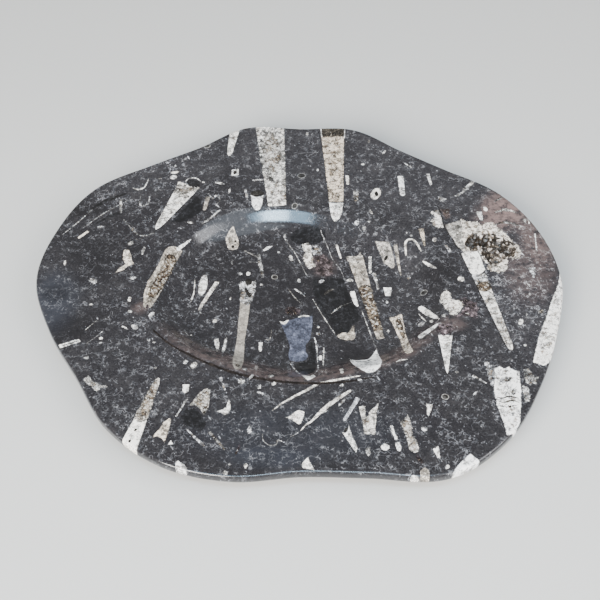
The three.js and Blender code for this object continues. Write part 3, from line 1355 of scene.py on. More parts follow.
BASIN_SHELLS = [
    oval((-84.5, 3.5), 12.6, 4, 84, F.CHAMBERED),
    thread(F.WHITE, (0.5, 0.6, 0.5), (-92, 10), (-92, -5), (-94, -16)),
    oval((-93.5, -12), 2.6, 1.1, 80, F.WHITE),
    patch(F.WHITE, (-74, 8), (-70, 7), (-83, -20), (-85, -26), (-87.5, -25), (-86, -19)),
    patch(F.WHITE, (-72, -57), (-67.5, -55.5), (-66.5, -66), (-68, -74.5)),
    patch(F.WHITE, (-60.5, -52), (-60.5, -60), (-62, -73), (-65, -73), (-63, -58)),
    oval((-72, -37), 2.4, 2, 40, F.WHITE),
    rod((-32, -60), (-32.4, -70), 1.8, 1.3, F.WHITE),
    patch(F.BLUE, (-16, -39), (-9, -36), (0, -33), (12, -31), (11.5, -45), (9.5, -58), (6, -63), (6, -70),
        (8, -74), (6, -79), (-1, -81), (-8, -79), (-9, -73), (-7.5, -66), (-10, -56)),
    thread(F.WHITE, (0.6, 1.4, 0.7), (-16.5, -37), (-13, -39.5), (-9, -36)),
    thread(F.WHITE, (0.6, 1.2, 0.6), (-1, -33), (4, -31.4), (9.5, -31.6)),
    patch(F.RED, (-12, -22), (-4, -21), (2, -25), (1, -30), (-7, -31), (-12, -28)),
    patch(F.SHADE, (8, -59), (12.5, -57), (14, -66), (14.6, -88), (12, -98), (5, -101), (0, -95), (-5, -83),
        (0, -82), (7, -80), (9.5, -74), (7, -66)),
    thread(F.CHIP, (0.5, 0.6, 0.6, 0.5), (13, -54), (15, -65), (15.5, -80), (16, -90), (13, -99)),
    thread(F.CHIP, (0.5, 0.7, 0.4), (21, -65), (20.5, -76), (20, -88)),
    patch(F.WHITE, (16, -74), (19.5, -73), (20, -79), (16.6, -79)),
    oval((16.5, -51), 2.3, 2, 0, F.GREY),
    oval((16.5, -44), 1.2, 1, 0, F.WHITE),
    thread(F.CHIP, (0.4, 0.6, 0.8), (-7.6, -81), (-3.4, -90), (1, -98.4)),
    patch(F.BRIGHT, (1, -100), (5, -102), (9, -103), (12, -101), (14, -105), (10, -109), (7, -110),
        (4, -106)),
    patch(F.SHADE, (12, 10), (25, 13), (40, 10), (45, -10), (50, -22), (54, -32), (49, -40), (46, -41),
        (43, -50), (31, -52), (20, -28), (12, -5)),
    thread(F.SHADED, (0.5, 1.4, 0.5), (22, -8), (26, -3.4), (31, -1)),
    thread(F.DIM, (0.2, 0.5, 0.2), (27, -30), (36, -21), (46, -16)),
    oval((8, 61.5), 17, 9.5, 2, F.SHADE),
    patch(F.GUARD, (31, -52), (37, -50), (42, -50), (44, -46), (46, -42), (48.5, -41), (47, -46), (48, -55),
        (46, -58), (40, -58), (34, -56)),
    patch(F.WHITE, (103, -22), (106, -21), (112, -29), (117, -41), (119.5, -48), (114, -43), (107, -32),
        (103, -25)),
    patch(F.WHITE, (99, -59), (107, -54.5), (119, -49.5), (114, -56.5), (104, -63.5), (101, -66)),
    thread(F.WHITE, (0.5, 1.6, 0.5), (109, 21), (115, 15), (121, 10)),
    patch(F.CREAM, (-67, 58), (-64, 65), (-60, 70), (-58.6, 66), (-56, 60), (-54, 53), (-56, 47), (-60, 45),
        (-64, 46), (-66, 52)),
    oval((-60, 50), 1.9, 1.4, 90, F.VOID),
    oval((-58, 56), 1.4, 0.8, 60, F.VOID),
    patch(F.GUARD, (68, 50), (81, 46), (84, 38), (86, 24), (83, 22), (78, 27), (76, 28), (73, 38)),
    oval((78, 33), 2.4, 1.5, 60, F.VOID),
    rod((86.5, 42), (90.5, 14), 2, 0.7, F.GUARD),
    thread(F.PINK, (0.8, 1.3, 1.3, 0.6), (95.5, 30), (95, 40), (98, 44.4), (102.5, 44), (106, 38),
        (108.5, 30)),
    rod((34, 52), (38, 35), 1.4, 0.8, F.WHITE),
    patch(F.CALCITE, (3, 52), (8, 55), (12, 50), (11, 42), (13, 38), (13, 30), (16, 27), (10, 22), (6, 27),
        (4, 35), (5, 42)),
    patch(F.LILAC, (11, 52), (20, 51), (21, 41), (13, 39)),
    patch(F.ROSY, (13, 38), (22, 40), (30, 30), (30, 16), (22, 13), (14, 18), (16, 27)),
    thread(F.DIM, (1.4, 2.1, 1.6), (-37, 42), (-34.6, 28), (-32, 12)),
    thread(F.DIM, (0.8, 1.2), (-50, 45), (-37, 37)),
    thread(F.DIM, (0.6, 1), (-45, 31), (-36, 30)),
    patch(F.WHITE, (-33, 46), (-32, 43.5), (-28, 46), (-22.5, 52), (-29, 50)),
    rod((110.5, 58), (112, 36), 2.6, 0.7, F.TAN),
    patch(F.CALCITE, (122, -18), (127, -14), (131, -19), (130, -25), (136, -26), (140, -24), (142, -30),
        (137, -37), (134, -42), (128, -42), (123, -32), (121, -25)),
    patch(F.ROSY, (135, -25), (142, -24), (152, -30), (150, -46), (138, -44), (131, -46), (138, -38),
        (141, -31)),
    patch(F.BRIGHT, (74, 1), (82, 1), (80.5, -9), (75.5, -9)),
    oval((76.5, -16), 2.2, 1.2, 90, F.WHITE),
    oval((-21.5, 13), 3, 2.8, 0, F.RING),
    oval((-4, 88), 3.2, 2.8, 60, F.RING),
    oval((2.5, 127.5), 4, 3.6, 0, F.RING),
    oval((-89.5, 169.5), 3.6, 3.2, 0, F.RING),
    oval((109, -8), 3.2, 2.8, 0, F.RING),
    oval((116, -126), 3.1, 2.9, 0, F.RING),
    # Painted shade along the near brow of the basin.
    thread(F.CREASE, (0.8, 1.3, 1.5, 1.3, 0.8), (-122, -58), (-108, -72), (-92, -83), (-72, -94),
        (-48, -104), (-20, -110.5), (8, -113), (34, -112), (60, -107)),
]

RIM_SHELLS = [
    rod((96, 127), (96.6, 100), 2.9, 2.6, F.WHITE),
    rod((45.5, 128), (46, 115), 1.8, 1.4, F.WHITE),
    rod((122, 130), (124, 115), 1.8, 1.3, F.WHITE),
    oval((71.6, 103), 8.2, 4.6, 70, F.WHITE),
    oval((72.2, 103), 3.4, 1.6, 95, F.VOID),
    patch(F.CALCITE, (121, 80), (128, 82), (130, 72), (131, 60), (126, 59), (121, 62), (120, 68),
        (124, 72)),
    thread(F.VOID, (0.6, 0.6), (128.6, 86), (130.6, 72), (132, 60)),
    patch(F.ROSY, (130.5, 84), (138.5, 83.5), (138, 73), (135, 71), (132, 73)),
    rod((165, 80), (166.4, 68), 2.8, 1.5, F.WHITE),
    oval((171.5, 83), 3.2, 2, 100, F.WHITE),
    patch(F.GREY, (129, 100), (133, 99), (137, 96), (134, 92), (130, 93)),
    rod((155, 108), (166, 122), 2, 1.6, F.GREY),
    rod((146, 99), (160, 112), 1.6, 1.2, F.GREY),
    rod((170, 118), (181, 128), 1.4, 1, F.GREY),
    rod((-84.4, 99), (-87, 81), 2.2, 1.7, F.GUARD),
    thread(F.GREY, (0.9, 1, 0.9), (-85, 104), (-80, 97), (-77, 101), (-73, 95), (-76, 88), (-71, 84)),
    patch(F.GREY, (-173, -110), (-169, -104), (-166, -110), (-159, -114), (-151, -116), (-158, -118),
        (-160, -122), (-165, -117)),
    patch(F.GREY, (-183, -5), (-180, -1), (-176, -2), (-174, -5), (-177, -10), (-179, -6)),
    patch(F.WHITE, (-64, 127), (-57, 128), (-57, 137), (-64, 136)),
    patch(F.VOID, (-62.3, 129), (-59, 129.6), (-59, 134.6), (-62.3, 134)),
    thread(F.WHITE, (0.5, 1.3, 0.5), (-156, 111), (-150, 108.6), (-144, 111.6)),
    thread(F.WHITE, (0.9, 0.6), (-145, 111), (-143, 117), (-142, 123)),
    thread(F.WHITE, (0.4, 0.8, 0.4), (79, -92), (82, -90), (89, -89)),
    thread(F.VEIN, (0.5, 0.7, 0.5), (-28, -160), (-27, -167), (-22, -171), (-17, -170), (-16, -166),
        (-12, -168)),
    thread(F.VEIN, (0.5, 0.5), (-23, -46), (-24, -55), (-26, -58), (-28, -56)),
    thread(F.GREY, (0.7, 0.8, 0.7), (-147, 100), (-147, 90), (-143, 87), (-139, 91), (-139, 100)),
    rod((203.5, 11), (204, -1), 3.4, 1.2, F.GREY),
    oval((205, -38.5), 3.2, 2.4, 40, F.GREY),
    rod((-90, -114), (-90, -123), 3, 2.2, F.WHITE),
    rod((-63, -107), (-58, -121), 1.6, 0.7, F.GREY),
    rod((-88, -128), (-96, -145), 1, 0.6, F.GREY),
    rod((-87, -156), (-72, -172), 0.5, 1.5, F.GREY),
    rod((-69, -159), (-56, -175), 1.6, 1.1, F.DIM),
    rod((140, -105), (150, -113), 1.6, 0.6, F.GREY),
    rod((34.6, -94), (35, -103), 1.8, 1.5, F.PINK),
    patch(F.PINK, (-155, 33), (-151, 32), (-148, 26), (-147, 20), (-144, 15), (-150, 12), (-154, 7),
        (-160, 5), (-158, 10), (-152, 15), (-155, 20), (-156, 26)),
    patch(F.WHITE, (-198, -74), (-182, -68), (-179, -71), (-196, -78)),
    thread(F.VOID, (0.4, 0.4), (-195, -75.4), (-182, -70)),
    patch(F.WHITE, (7, -181), (9, -186), (12, -193), (3, -191), (2, -187)),
    patch(F.BRIGHT, (113, -199), (118, -191), (122, -186), (130.5, -178), (133, -181), (137, -185),
        (130, -193), (120, -200)),
    patch(F.GUARD, (91, -193), (95, -190), (98, -193), (98, -203), (90, -203)),
    oval((87, -199), 4, 2, 0, F.WHITE),
    patch(F.WHITE, (-93, -186), (-91, -184), (-83, -191), (-85.5, -196), (-93, -192)),
    patch(F.WHITE, (-98, -166), (-95.6, -170), (-100, -170.6)),
    thread(F.VEIN, (0.4, 0.7, 0.4), (-185, 90), (-198, 70), (-213, 50)),
    thread(F.SHADE, (1, 2.6, 1), (-192, 82), (-178, 94), (-160, 104)),
    thread(F.SHADE, (0.8, 2, 0.8), (-186, 62), (-172, 74), (-158, 80)),
    thread(F.VEIN, (0.4, 0.8, 0.4), (-196, 58), (-178, 78), (-156, 96)),
    thread(F.GREY, (0.6, 1, 0.8), (-89, 64), (-80, 73), (-72, 82.5)),
    thread(F.VEIN, (0.5, 0.6, 0.5), (-13, 60), (-8, 50), (-4, 43), (0, 33), (7, 15)),
    thread(F.VEIN, (0.5, 0.6, 0.5), (20, 66), (26, 50), (30, 35), (37, 22), (41, 8)),
    thread(F.VEIN, (0.5, 0.6, 0.5), (12, -12), (20, -30), (31, -52)),
    thread(F.VEIN, (0.4, 0.6, 0.4), (54, -24), (60, -48), (65.5, -68)),
    thread(F.VEIN, (0.4, 0.6, 0.4), (-10, 0), (-4, -10), (3, -19)),
    thread(F.GREY, (0.8, 1, 0.6), (-4, 0), (6, -10)),
    thread(F.VEIN, (0.4, 0.5, 0.4), (-175, -73), (-169, -67), (-163, -60)),
    thread(F.VEIN, (0.5, 0.7, 0.5), (-169, -48), (-178, -59)),
    thread(F.DIM, (0.6, 1, 0.6), (-160, 70), (-148, 54), (-140, 49), (-130, 53)),
    thread(F.GREY, (0.5, 0.9, 0.5), (-97, -50), (-93, -55), (-90, -53)),
    thread(F.WHITE, (0.4, 0.7, 0.3), (103, -30), (108, -42)),
    thread(F.RED, (0.8, 0.8), (-45, -170), (-48, -180)),
    rod((-190, 55), (-198, 46), 1.5, 1.2, F.PINK),
    rod((-165, 96), (-163, 77), 1.5, 1.2, F.DIM),
    rod((131, 38), (135, 28), 2, 1.4, F.GREY),
    rod((53, 107), (53, 92), 2.8, 2.4, F.DIM),
    thread(F.DIM, (0.6, 1.6, 0.6), (176, 62), (188, 66), (204, 60)),
    thread(F.DIM, (0.6, 2, 0.6), (178, 78), (190, 82), (200, 78)),
    thread(F.DIM, (0.5, 1.4, 0.5), (180, 92), (188, 98), (192, 99)),
    rod((212.5, 52), (211, 31), 0.8, 0.6, F.WHITE),
    rod((209, 74), (209, 64), 0.8, 0.7, F.WHITE),
]

# centre, half-length, half-width and turn of the small shells, by filling
CHIPS = {
    F.WHITE: (
        (-118.5, 125.5, 3.4, 3.1, 0), (-118, 132, 4, 1.9, 10), (-163.5, -67.5, 1.7, 1.5, 0),
        (66, -172.5, 3.4, 3.1, 0), (140.5, -2.5, 3.2, 2.9, 0), (186, -50, 3.6, 2.1, 70),
        (-137, -55.5, 3.6, 2.4, -35), (-205.5, 16, 3, 1.2, 90),
    ),
    F.CHIP: (
        (-118, 141, 1.6, 1.2, 40), (-131, 124, 1.7, 1.3, 0), (-74.5, 117.2, 4.8, 1.6, -16),
        (-39, 121.5, 6, 1.5, 5), (-90, 118.5, 1.6, 1.4, 0), (8, 187, 3.1, 1.5, 90),
        (18, 135, 2.1, 1.5, 80), (61, 143, 1.8, 1.4, 30), (103.5, 142.5, 4.8, 0.8, -45),
        (-98.5, 66, 2.6, 1.5, -15), (-13, 63, 2.6, 1.4, 80), (-18, 43, 1.6, 1.4, 0),
        (-7, 35, 4.1, 2, 105), (0, 9, 2.6, 1.6, 95), (-144.5, -25.5, 3.1, 1.5, 80),
        (-142.5, -38.5, 2.1, 1.6, 0), (-124, -42, 3.6, 2.1, 60), (-145, -56, 3.6, 0.9, -34),
        (-163, -72, 1.5, 1, 30), (-124, -69.5, 1.6, 1.4, 0), (-119.5, -71.5, 1.4, 1, 0),
        (-173, -87.5, 2.1, 1.5, 10), (-176.5, -31, 1.6, 1, 0), (122, -43, 1.6, 1.4, 0),
        (104, -44, 2.7, 2.2, 30), (112, -45, 2.6, 1.4, 95), (198, -20, 1.7, 1.3, 60),
        (192, -42, 2.1, 1, 80), (186.5, -75, 1.7, 1.4, 0), (198, -8, 3.1, 1, 105),
        (121.5, 44, 3.1, 2, 80), (101, 49.5, 1.6, 1.4, 0), (97, 53, 1.6, 1, 70),
        (59, 61.5, 1.6, 1.4, 0), (64, 67, 1.3, 1.1, 0), (66, 79, 2.6, 1.5, 100),
        (45, 9, 3.1, 1.9, 0), (97, 10, 1.7, 1.4, 0), (-85, -95, 3.4, 2.8, 60),
        (-92, -92, 2.5, 1.9, 70), (-43.5, -98, 2.1, 1.9, 0), (-22.5, -105, 2.6, 1.9, 20),
        (-38, -106, 3, 1, 60), (-20, -113.5, 2.1, 1.4, 30), (-31.5, -116.5, 2, 1.4, 80),
        (-30, -122.5, 3.4, 1.2, -27), (-55, -195, 2.1, 1.9, 0), (-52, -188, 1.4, 1.1, 0),
        (-40, -189, 2.1, 1.4, 80), (34.5, -115, 2.1, 1.4, 10), (49, -110, 1.5, 1.1, 0),
        (-116, -97.5, 1.6, 1.4, 0), (127.5, -102, 1.5, 1.2, 0), (139.5, -123, 2.6, 1, 50),
        (112, -190, 2.1, 1.5, 60), (76, -48, 2.1, 1, 80), (-60, -12.5, 2.1, 1, 80),
        (-33, 4, 1.7, 1.4, 0), (-52, 17, 2.1, 1.7, 30), (206, 68, 2.4, 1.6, 70),
        (-85, -27.5, 1.7, 1, -50), (52.5, 67, 2.7, 2.2, 0), (-65, 107, 4, 1.1, 85),
        (-49, 103, 8, 1.3, 100), (68, 176, 2.2, 1.2, 70), (82, 160, 3, 1, 60),
    ),
    F.GREY: (
        (-150, 57, 3.6, 2, 100), (-138, 31.5, 5.6, 1.5, 80), (-145, 45, 2.1, 0.9, 0),
        (-150, 40, 3.1, 2.4, 60), (-143.5, -1, 3.1, 2, 10), (-38, -157, 4.1, 2, 95),
        (53, -176, 4.1, 2, 85), (97, -156, 2.6, 2.4, 0), (-110, 150, 4, 1.5, 60),
        (150, 140, 5, 1.6, 50), (-180, 60, 3, 1.6, 30), (190, -110, 4, 2, 60),
        (-46, -111, 3, 2.6, 0), (20, 8, 2.4, 1.6, 30), (-60, 30, 3, 1, 80),
    ),
}

SMALL_SHELLS = [
    oval((x, y), long_half, wide_half, turn, filling)
    for filling, rows in CHIPS.items()
    for x, y, long_half, wide_half, turn in rows
]


def under_shells() -> list[Fossil]:
    """Shells cut by the underside: rods and ovals strewn by a seeded draw, none from the face.

    Returns:
        The shells, lowest first.
    """
    rng = np.random.default_rng(5)
    kinds = (F.GREY, F.CREAM, F.DIM, F.WHITE, F.DIM)
    shells = []
    for number in range(46):
        x, y = rng.uniform(-190, 190), rng.uniform(-160, 160)
        turn = math.radians(rng.normal(90, 28))
        length = rng.uniform(8, 62) * (0.4 if number % 2 else 1)
        half = rng.uniform(1.4, 6.2) * (0.5 if number % 2 else 1)
        end = (x + length * math.cos(turn), y + length * math.sin(turn))
        shells.append(rod((x, y), end, half, half * 0.3, kinds[number % len(kinds)]))
    return shells


# centre, half-sizes, amount and turn of the soft zones, by tinge
ZONES = {
    # Dark rows with a negative amount make the stone paler on the far and right rim and two smaller places:
    # a painted sheen of reflected light.
    Tinge.DARK: (
        (-188, -56, 24, 16, 0.5, 20), (-208, -18, 12, 12, 0.6, 0), (-198, 82, 16, 10, 0.6, 0),
        (-150, 90, 34, 20, 0.15, 30), (-170, 30, 40, 40, 0.3, 0), (-75, 20, 40, 34, 0.3, 0),
        (10, -30, 50, 50, 0.3, 0), (45, -76, 16, 16, 0.3, 0), (125, 5, 16, 16, 0.5, 0),
        (-20, -168, 110, 34, 0.35, 0), (100, -150, 60, 50, 0.2, 0), (70, 140, 170, 62, -0.6, -14),
        (-130, 130, 60, 34, -0.5, 30), (95, 37, 28, 18, -0.45, 0), (188, 10, 40, 90, -0.5, 0),
    ),
    Tinge.BROWN: (
        (190, 84, 20, 32, 1, -40), (212, 48, 14, 30, 0.5, 10), (202, 6, 22, 34, 0.3, -10),
        (-135, -35, 7, 7, 0.4, 0), (22, 26, 12, 12, 0.3, 0), (128, -52, 12, 8, 0.4, 0),
    ),
    # Blue rows are a painted bluish sheen on the left rim and the near rim.
    Tinge.BLUE: (
        (-210, -30, 22, 34, 0.45, 0), (-22, -182, 32, 10, 0.4, 0), (0, -160, 90, 26, 0.3, 0),
    ),
    Tinge.BUSY: (
        (120, -130, 70, 60, 0.1, 0), (0, -160, 150, 30, 0.1, 0), (190, 20, 40, 90, 0.2, 0),
        (-195, 100, 24, 14, 0.4, 0), (-130, 142, 26, 12, 0.35, 0), (70, 140, 170, 62, -0.12, -14),
        (-20, -5, 50, 50, -0.25, 0), (-180, 20, 50, 60, -0.12, 0), (190, 84, 20, 32, -0.5, -40),
        (45, -76, 16, 16, -0.4, 0), (-188, -56, 24, 16, -0.3, 0), (-150, 90, 34, 20, 0.15, 0),
    ),
}
GROUND = Ground(tuple(
    Zone(tinge, (x, y), half_x, half_y, amount, turn)
    for tinge, rows in ZONES.items()
    for x, y, half_x, half_y, amount, turn in rows
))


# -------------------- the stone's finish


Socket = bpy.types.NodeSocket


class Blend(Enum):
    """What a Mix node blends: its data type, and the numbers of its two inputs and its output."""

    NUMBER = ("FLOAT", 2, 3, 0)
    VECTOR = ("VECTOR", 4, 5, 1)
    COLOUR = ("RGBA", 6, 7, 2)


def operation(name: str, turned: bool = False) -> Callable[..., "Term"]:
    """Makes a Term method that lays one Math node.

    Args:
        name: The node's operation.
        turned: Whether its two inputs swap places.

    Returns:
        The method.
    """

    def lay(self: "Term", other: "Value" = 0.0) -> "Term":
        """Lays the node."""
        return self.recipe.math(name, *((other, self) if turned else (self, other)))

    return lay


class Term:
    """A number in a finish, which sums and products can be written with."""

    __add__ = __radd__ = operation("ADD")
    __sub__ = operation("SUBTRACT")
    __rsub__ = operation("SUBTRACT", turned=True)
    __mul__ = __rmul__ = operation("MULTIPLY")
    __truediv__ = operation("DIVIDE")
    __pow__ = operation("POWER")
    __rpow__ = operation("POWER", turned=True)
    __gt__ = operation("GREATER_THAN")
    __lt__ = operation("LESS_THAN")
    __abs__ = operation("ABSOLUTE")
    at_least = operation("MAXIMUM")
    at_most = operation("MINIMUM")
    root = operation("SQRT")
    fraction = operation("FRACT")

    def __init__(self, recipe: "Recipe", socket: Socket) -> None:
        """Wraps an output of one of the recipe's nodes."""
        self.recipe = recipe
        self.socket = socket


Value = Term | float | int
Feeds = dict[str | int, object]


def shade(red: float, green: float, blue: float) -> tuple[float, float, float, float]:
    """A colour given in screen values from 0 to 255, turned into the light values nodes use.

    Args:
        red: Red.
        green: Green.
        blue: Blue.

    Returns:
        Red, green, blue and full cover.
    """
    parts = []
    for value in (red, green, blue):
        value = value / 255
        parts.append(value / 12.92 if value <= 0.04045 else ((value + 0.055) / 1.055) ** 2.4)
    return (*parts, 1.0)


class Recipe:
    """The nodes of one finish, laid one after another by short calls."""

    def __init__(self, name: str) -> None:
        """Starts an empty material.

        Args:
            name: The finish's name.
        """
        self.material = bpy.data.materials.new(name)
        self.material.use_nodes = True
        self.tree = self.material.node_tree
        self.tree.nodes.clear()

    def node(self, kind: str, feeds: Feeds | None = None, **settings: object) -> bpy.types.Node:
        """Adds a node, sets its named properties and feeds its inputs.

        Args:
            kind: The node's type.
            feeds: For an input's name or number, an output to link to it or a plain value.
            **settings: Properties of the node.

        Returns:
            The new node.
        """
        node = self.tree.nodes.new(kind)
        for name, value in settings.items():
            setattr(node, name, value)
        for key, value in (feeds or {}).items():
            value = value.socket if isinstance(value, Term) else value
            if isinstance(value, Socket):
                self.tree.links.new(value, node.inputs[key])
            else:
                node.inputs[key].default_value = value
        return node

    def end(self, shader: bpy.types.Node) -> bpy.types.Material:
        """Ends the recipe with its shader."""
        self.node("ShaderNodeOutputMaterial", {"Surface": shader.outputs[0]})
        return self.material

    def number(self, kind: str, feeds: Feeds, **settings: object) -> Term:
        """The first output of a new node, as a number."""
        return Term(self, self.node(kind, feeds, **settings).outputs[0])

    def math(self, name: str, a: Value, b: Value = 0.0) -> Term:
        """The result of one Math node."""
        return self.number("ShaderNodeMath", {0: a, 1: b}, operation=name)

    def fade(self, value: Value, low: Value, high: Value) -> Term:
        """0 up to low, 1 from high, and a smooth step between them."""
        feeds = {"Value": value, "From Min": low, "From Max": high}
        return self.number("ShaderNodeMapRange", feeds, interpolation_type="SMOOTHSTEP")

    def vector(self, name: str, a: Socket, b: object = (0, 0, 0), scale: float = 1) -> Term | Socket:
        """One Vector Math node: a number for a length or a dot product, a vector otherwise."""
        node = self.node("ShaderNodeVectorMath", {0: a, 1: b, 3: scale}, operation=name)
        return Term(self, node.outputs[1]) if name in ("LENGTH", "DOT_PRODUCT") else node.outputs[0]

    def split(self, vector: Socket) -> list[Term]:
        """The three parts of a vector or colour."""
        return [Term(self, part) for part in self.node("ShaderNodeSeparateXYZ", {0: vector}).outputs]

    def join(self, *parts: Value) -> Socket:
        """A vector from two or three parts."""
        return self.node("ShaderNodeCombineXYZ", dict(enumerate(parts))).outputs[0]

    def blend(self, factor: Value, a: object, b: object, kind: Blend = Blend.COLOUR) -> object:
        """What lies between two numbers, vectors or colours.

        Args:
            factor: 0 for a and 1 for b.
            a: What it starts from.
            b: What it goes to.
            kind: What the two are.

        Returns:
            The mixture: a number for two numbers, and a socket otherwise.
        """
        data_type, first, second, result = kind.value
        node = self.node("ShaderNodeMix", {0: factor, first: a, second: b}, data_type=data_type)
        output = node.outputs[result]
        return Term(self, output) if kind is Blend.NUMBER else output

    def lit(self, colour: Socket, light: Term) -> Socket:
        """A colour made brighter or darker."""
        return self.vector("MULTIPLY", colour, self.join(light, light, light))

    def ramp(self, value: Value, stops: Iterable[tuple[float, tuple]]) -> Socket:
        """A colour read off a ramp.

        Args:
            value: The place on the ramp.
            stops: Place and colour of each stop.

        Returns:
            The colour.
        """
        node = self.node("ShaderNodeValToRGB", {0: value})
        elements = node.color_ramp.elements
        for k, (place, colour) in enumerate(stops):
            element = elements[k] if k < 2 else elements.new(place)
            element.position = place
            element.color = colour
        return node.outputs[0]

    def noise(self, place: Socket, scale: float, detail: float = 2, rough: float = 0.5) -> Term:
        """Smooth noise about one half: waves to the millimetre, and the finer waves over them."""
        feeds = {"Vector": place, "Scale": scale, "Detail": detail, "Roughness": rough}
        return self.number("ShaderNodeTexNoise", feeds)

    def bent(self, place: Socket, scale: float, amount: float) -> Socket:
        """The place pushed about by smooth noise, so that even forms come out ragged.

        Args:
            place: Place in millimetres.
            scale: Waves of the noise to the millimetre.
            amount: Millimetres of the widest push.

        Returns:
            The pushed place.
        """
        noise = self.node("ShaderNodeTexNoise", {"Vector": place, "Scale": scale})
        push = self.vector("SUBTRACT", noise.outputs["Color"], (0.5, 0.5, 0.5))
        return self.vector("ADD", place, self.vector("SCALE", push, scale=amount))

    def cells(self, place: Socket, size: float) -> tuple[Socket, Socket]:
        """Each solid cell's random colour and the place of its seed, for cells about so wide."""
        node = self.node("ShaderNodeTexVoronoi", {"Vector": place, "Scale": 1 / size})
        return node.outputs["Color"], node.outputs["Position"]

    def channel(self, name: str) -> tuple[Socket, Term]:
        """A mesh channel's first three values, and its fourth."""
        node = self.node("ShaderNodeAttribute", attribute_name=name)
        return node.outputs["Color"], Term(self, node.outputs["Alpha"])


@dataclass(frozen=True)
class Hash:
    """Broken shell scattered through the stone: turned rods in cells of one size.

    long and thick are the longest half-length and half-thickness over the cell size, busy scales
    how many cells hold a piece, and pale is the brightness of the pieces.
    """

    cell: float
    long: float
    thick: float
    busy: float
    pale: float


class Found(NamedTuple):
    """The topmost fossil at a point; cover is the depth in the widest fossil there."""

    depth: Term
    cover: Term
    seed: Term
    rim: Term
    place: Socket
    tint: Socket
    marks: Socket


FOUND_KINDS = (*[Blend.NUMBER] * 2, *[Blend.VECTOR] * 3)


@dataclass(frozen=True)
class StoneFinish:
    """Polished black limestone with calcite fossils, and the same stone in its crystal hollows.

    The dark stone is mottled, with turned rods of broken shell at several sizes and short curved
    threads. Over it lie the drawn fossils. Colours are screen values.
    """

    name: str
    layers: int
    crystals: bool = False
    dark: tuple = shade(27, 26, 28)
    matrix: tuple = shade(36, 35, 37)
    grey: tuple = shade(49, 47, 48)
    pale_grey: tuple = shade(76, 74, 76)
    brown_stain_and_reflection: tuple = shade(98, 82, 78)
    painted_blue_sheen: tuple = shade(60, 65, 76)
    chip: tuple = shade(198, 197, 200)
    chip_dim: tuple = shade(108, 109, 114)
    white: tuple = shade(247, 243, 237)
    tan: tuple = shade(214, 184, 142)
    rose: tuple = shade(176, 156, 160)
    cool: tuple = shade(184, 192, 226)
    grain_dark: tuple = shade(46, 37, 31)
    grain_brown: tuple = shade(96, 80, 64)
    grain_tan: tuple = shade(160, 142, 120)
    grain_pale: tuple = shade(222, 216, 208)
    crystal_shade_deep: tuple = shade(15, 11, 7)
    crystal_mid: tuple = shade(112, 100, 86)
    crystal_pale: tuple = shade(196, 186, 178)
    gloss: float = 0.06
    honed: float = 0.62
    crystal_gloss: float = 0.3
    grain_height: float = 0.06
    hashes: tuple[Hash, ...] = (
        Hash(9.0, 0.42, 0.06, 0.6, 0.8),
        Hash(4.5, 0.44, 0.09, 0.8, 0.8),
        Hash(2.2, 0.45, 0.15, 0.7, 0.6),
    )


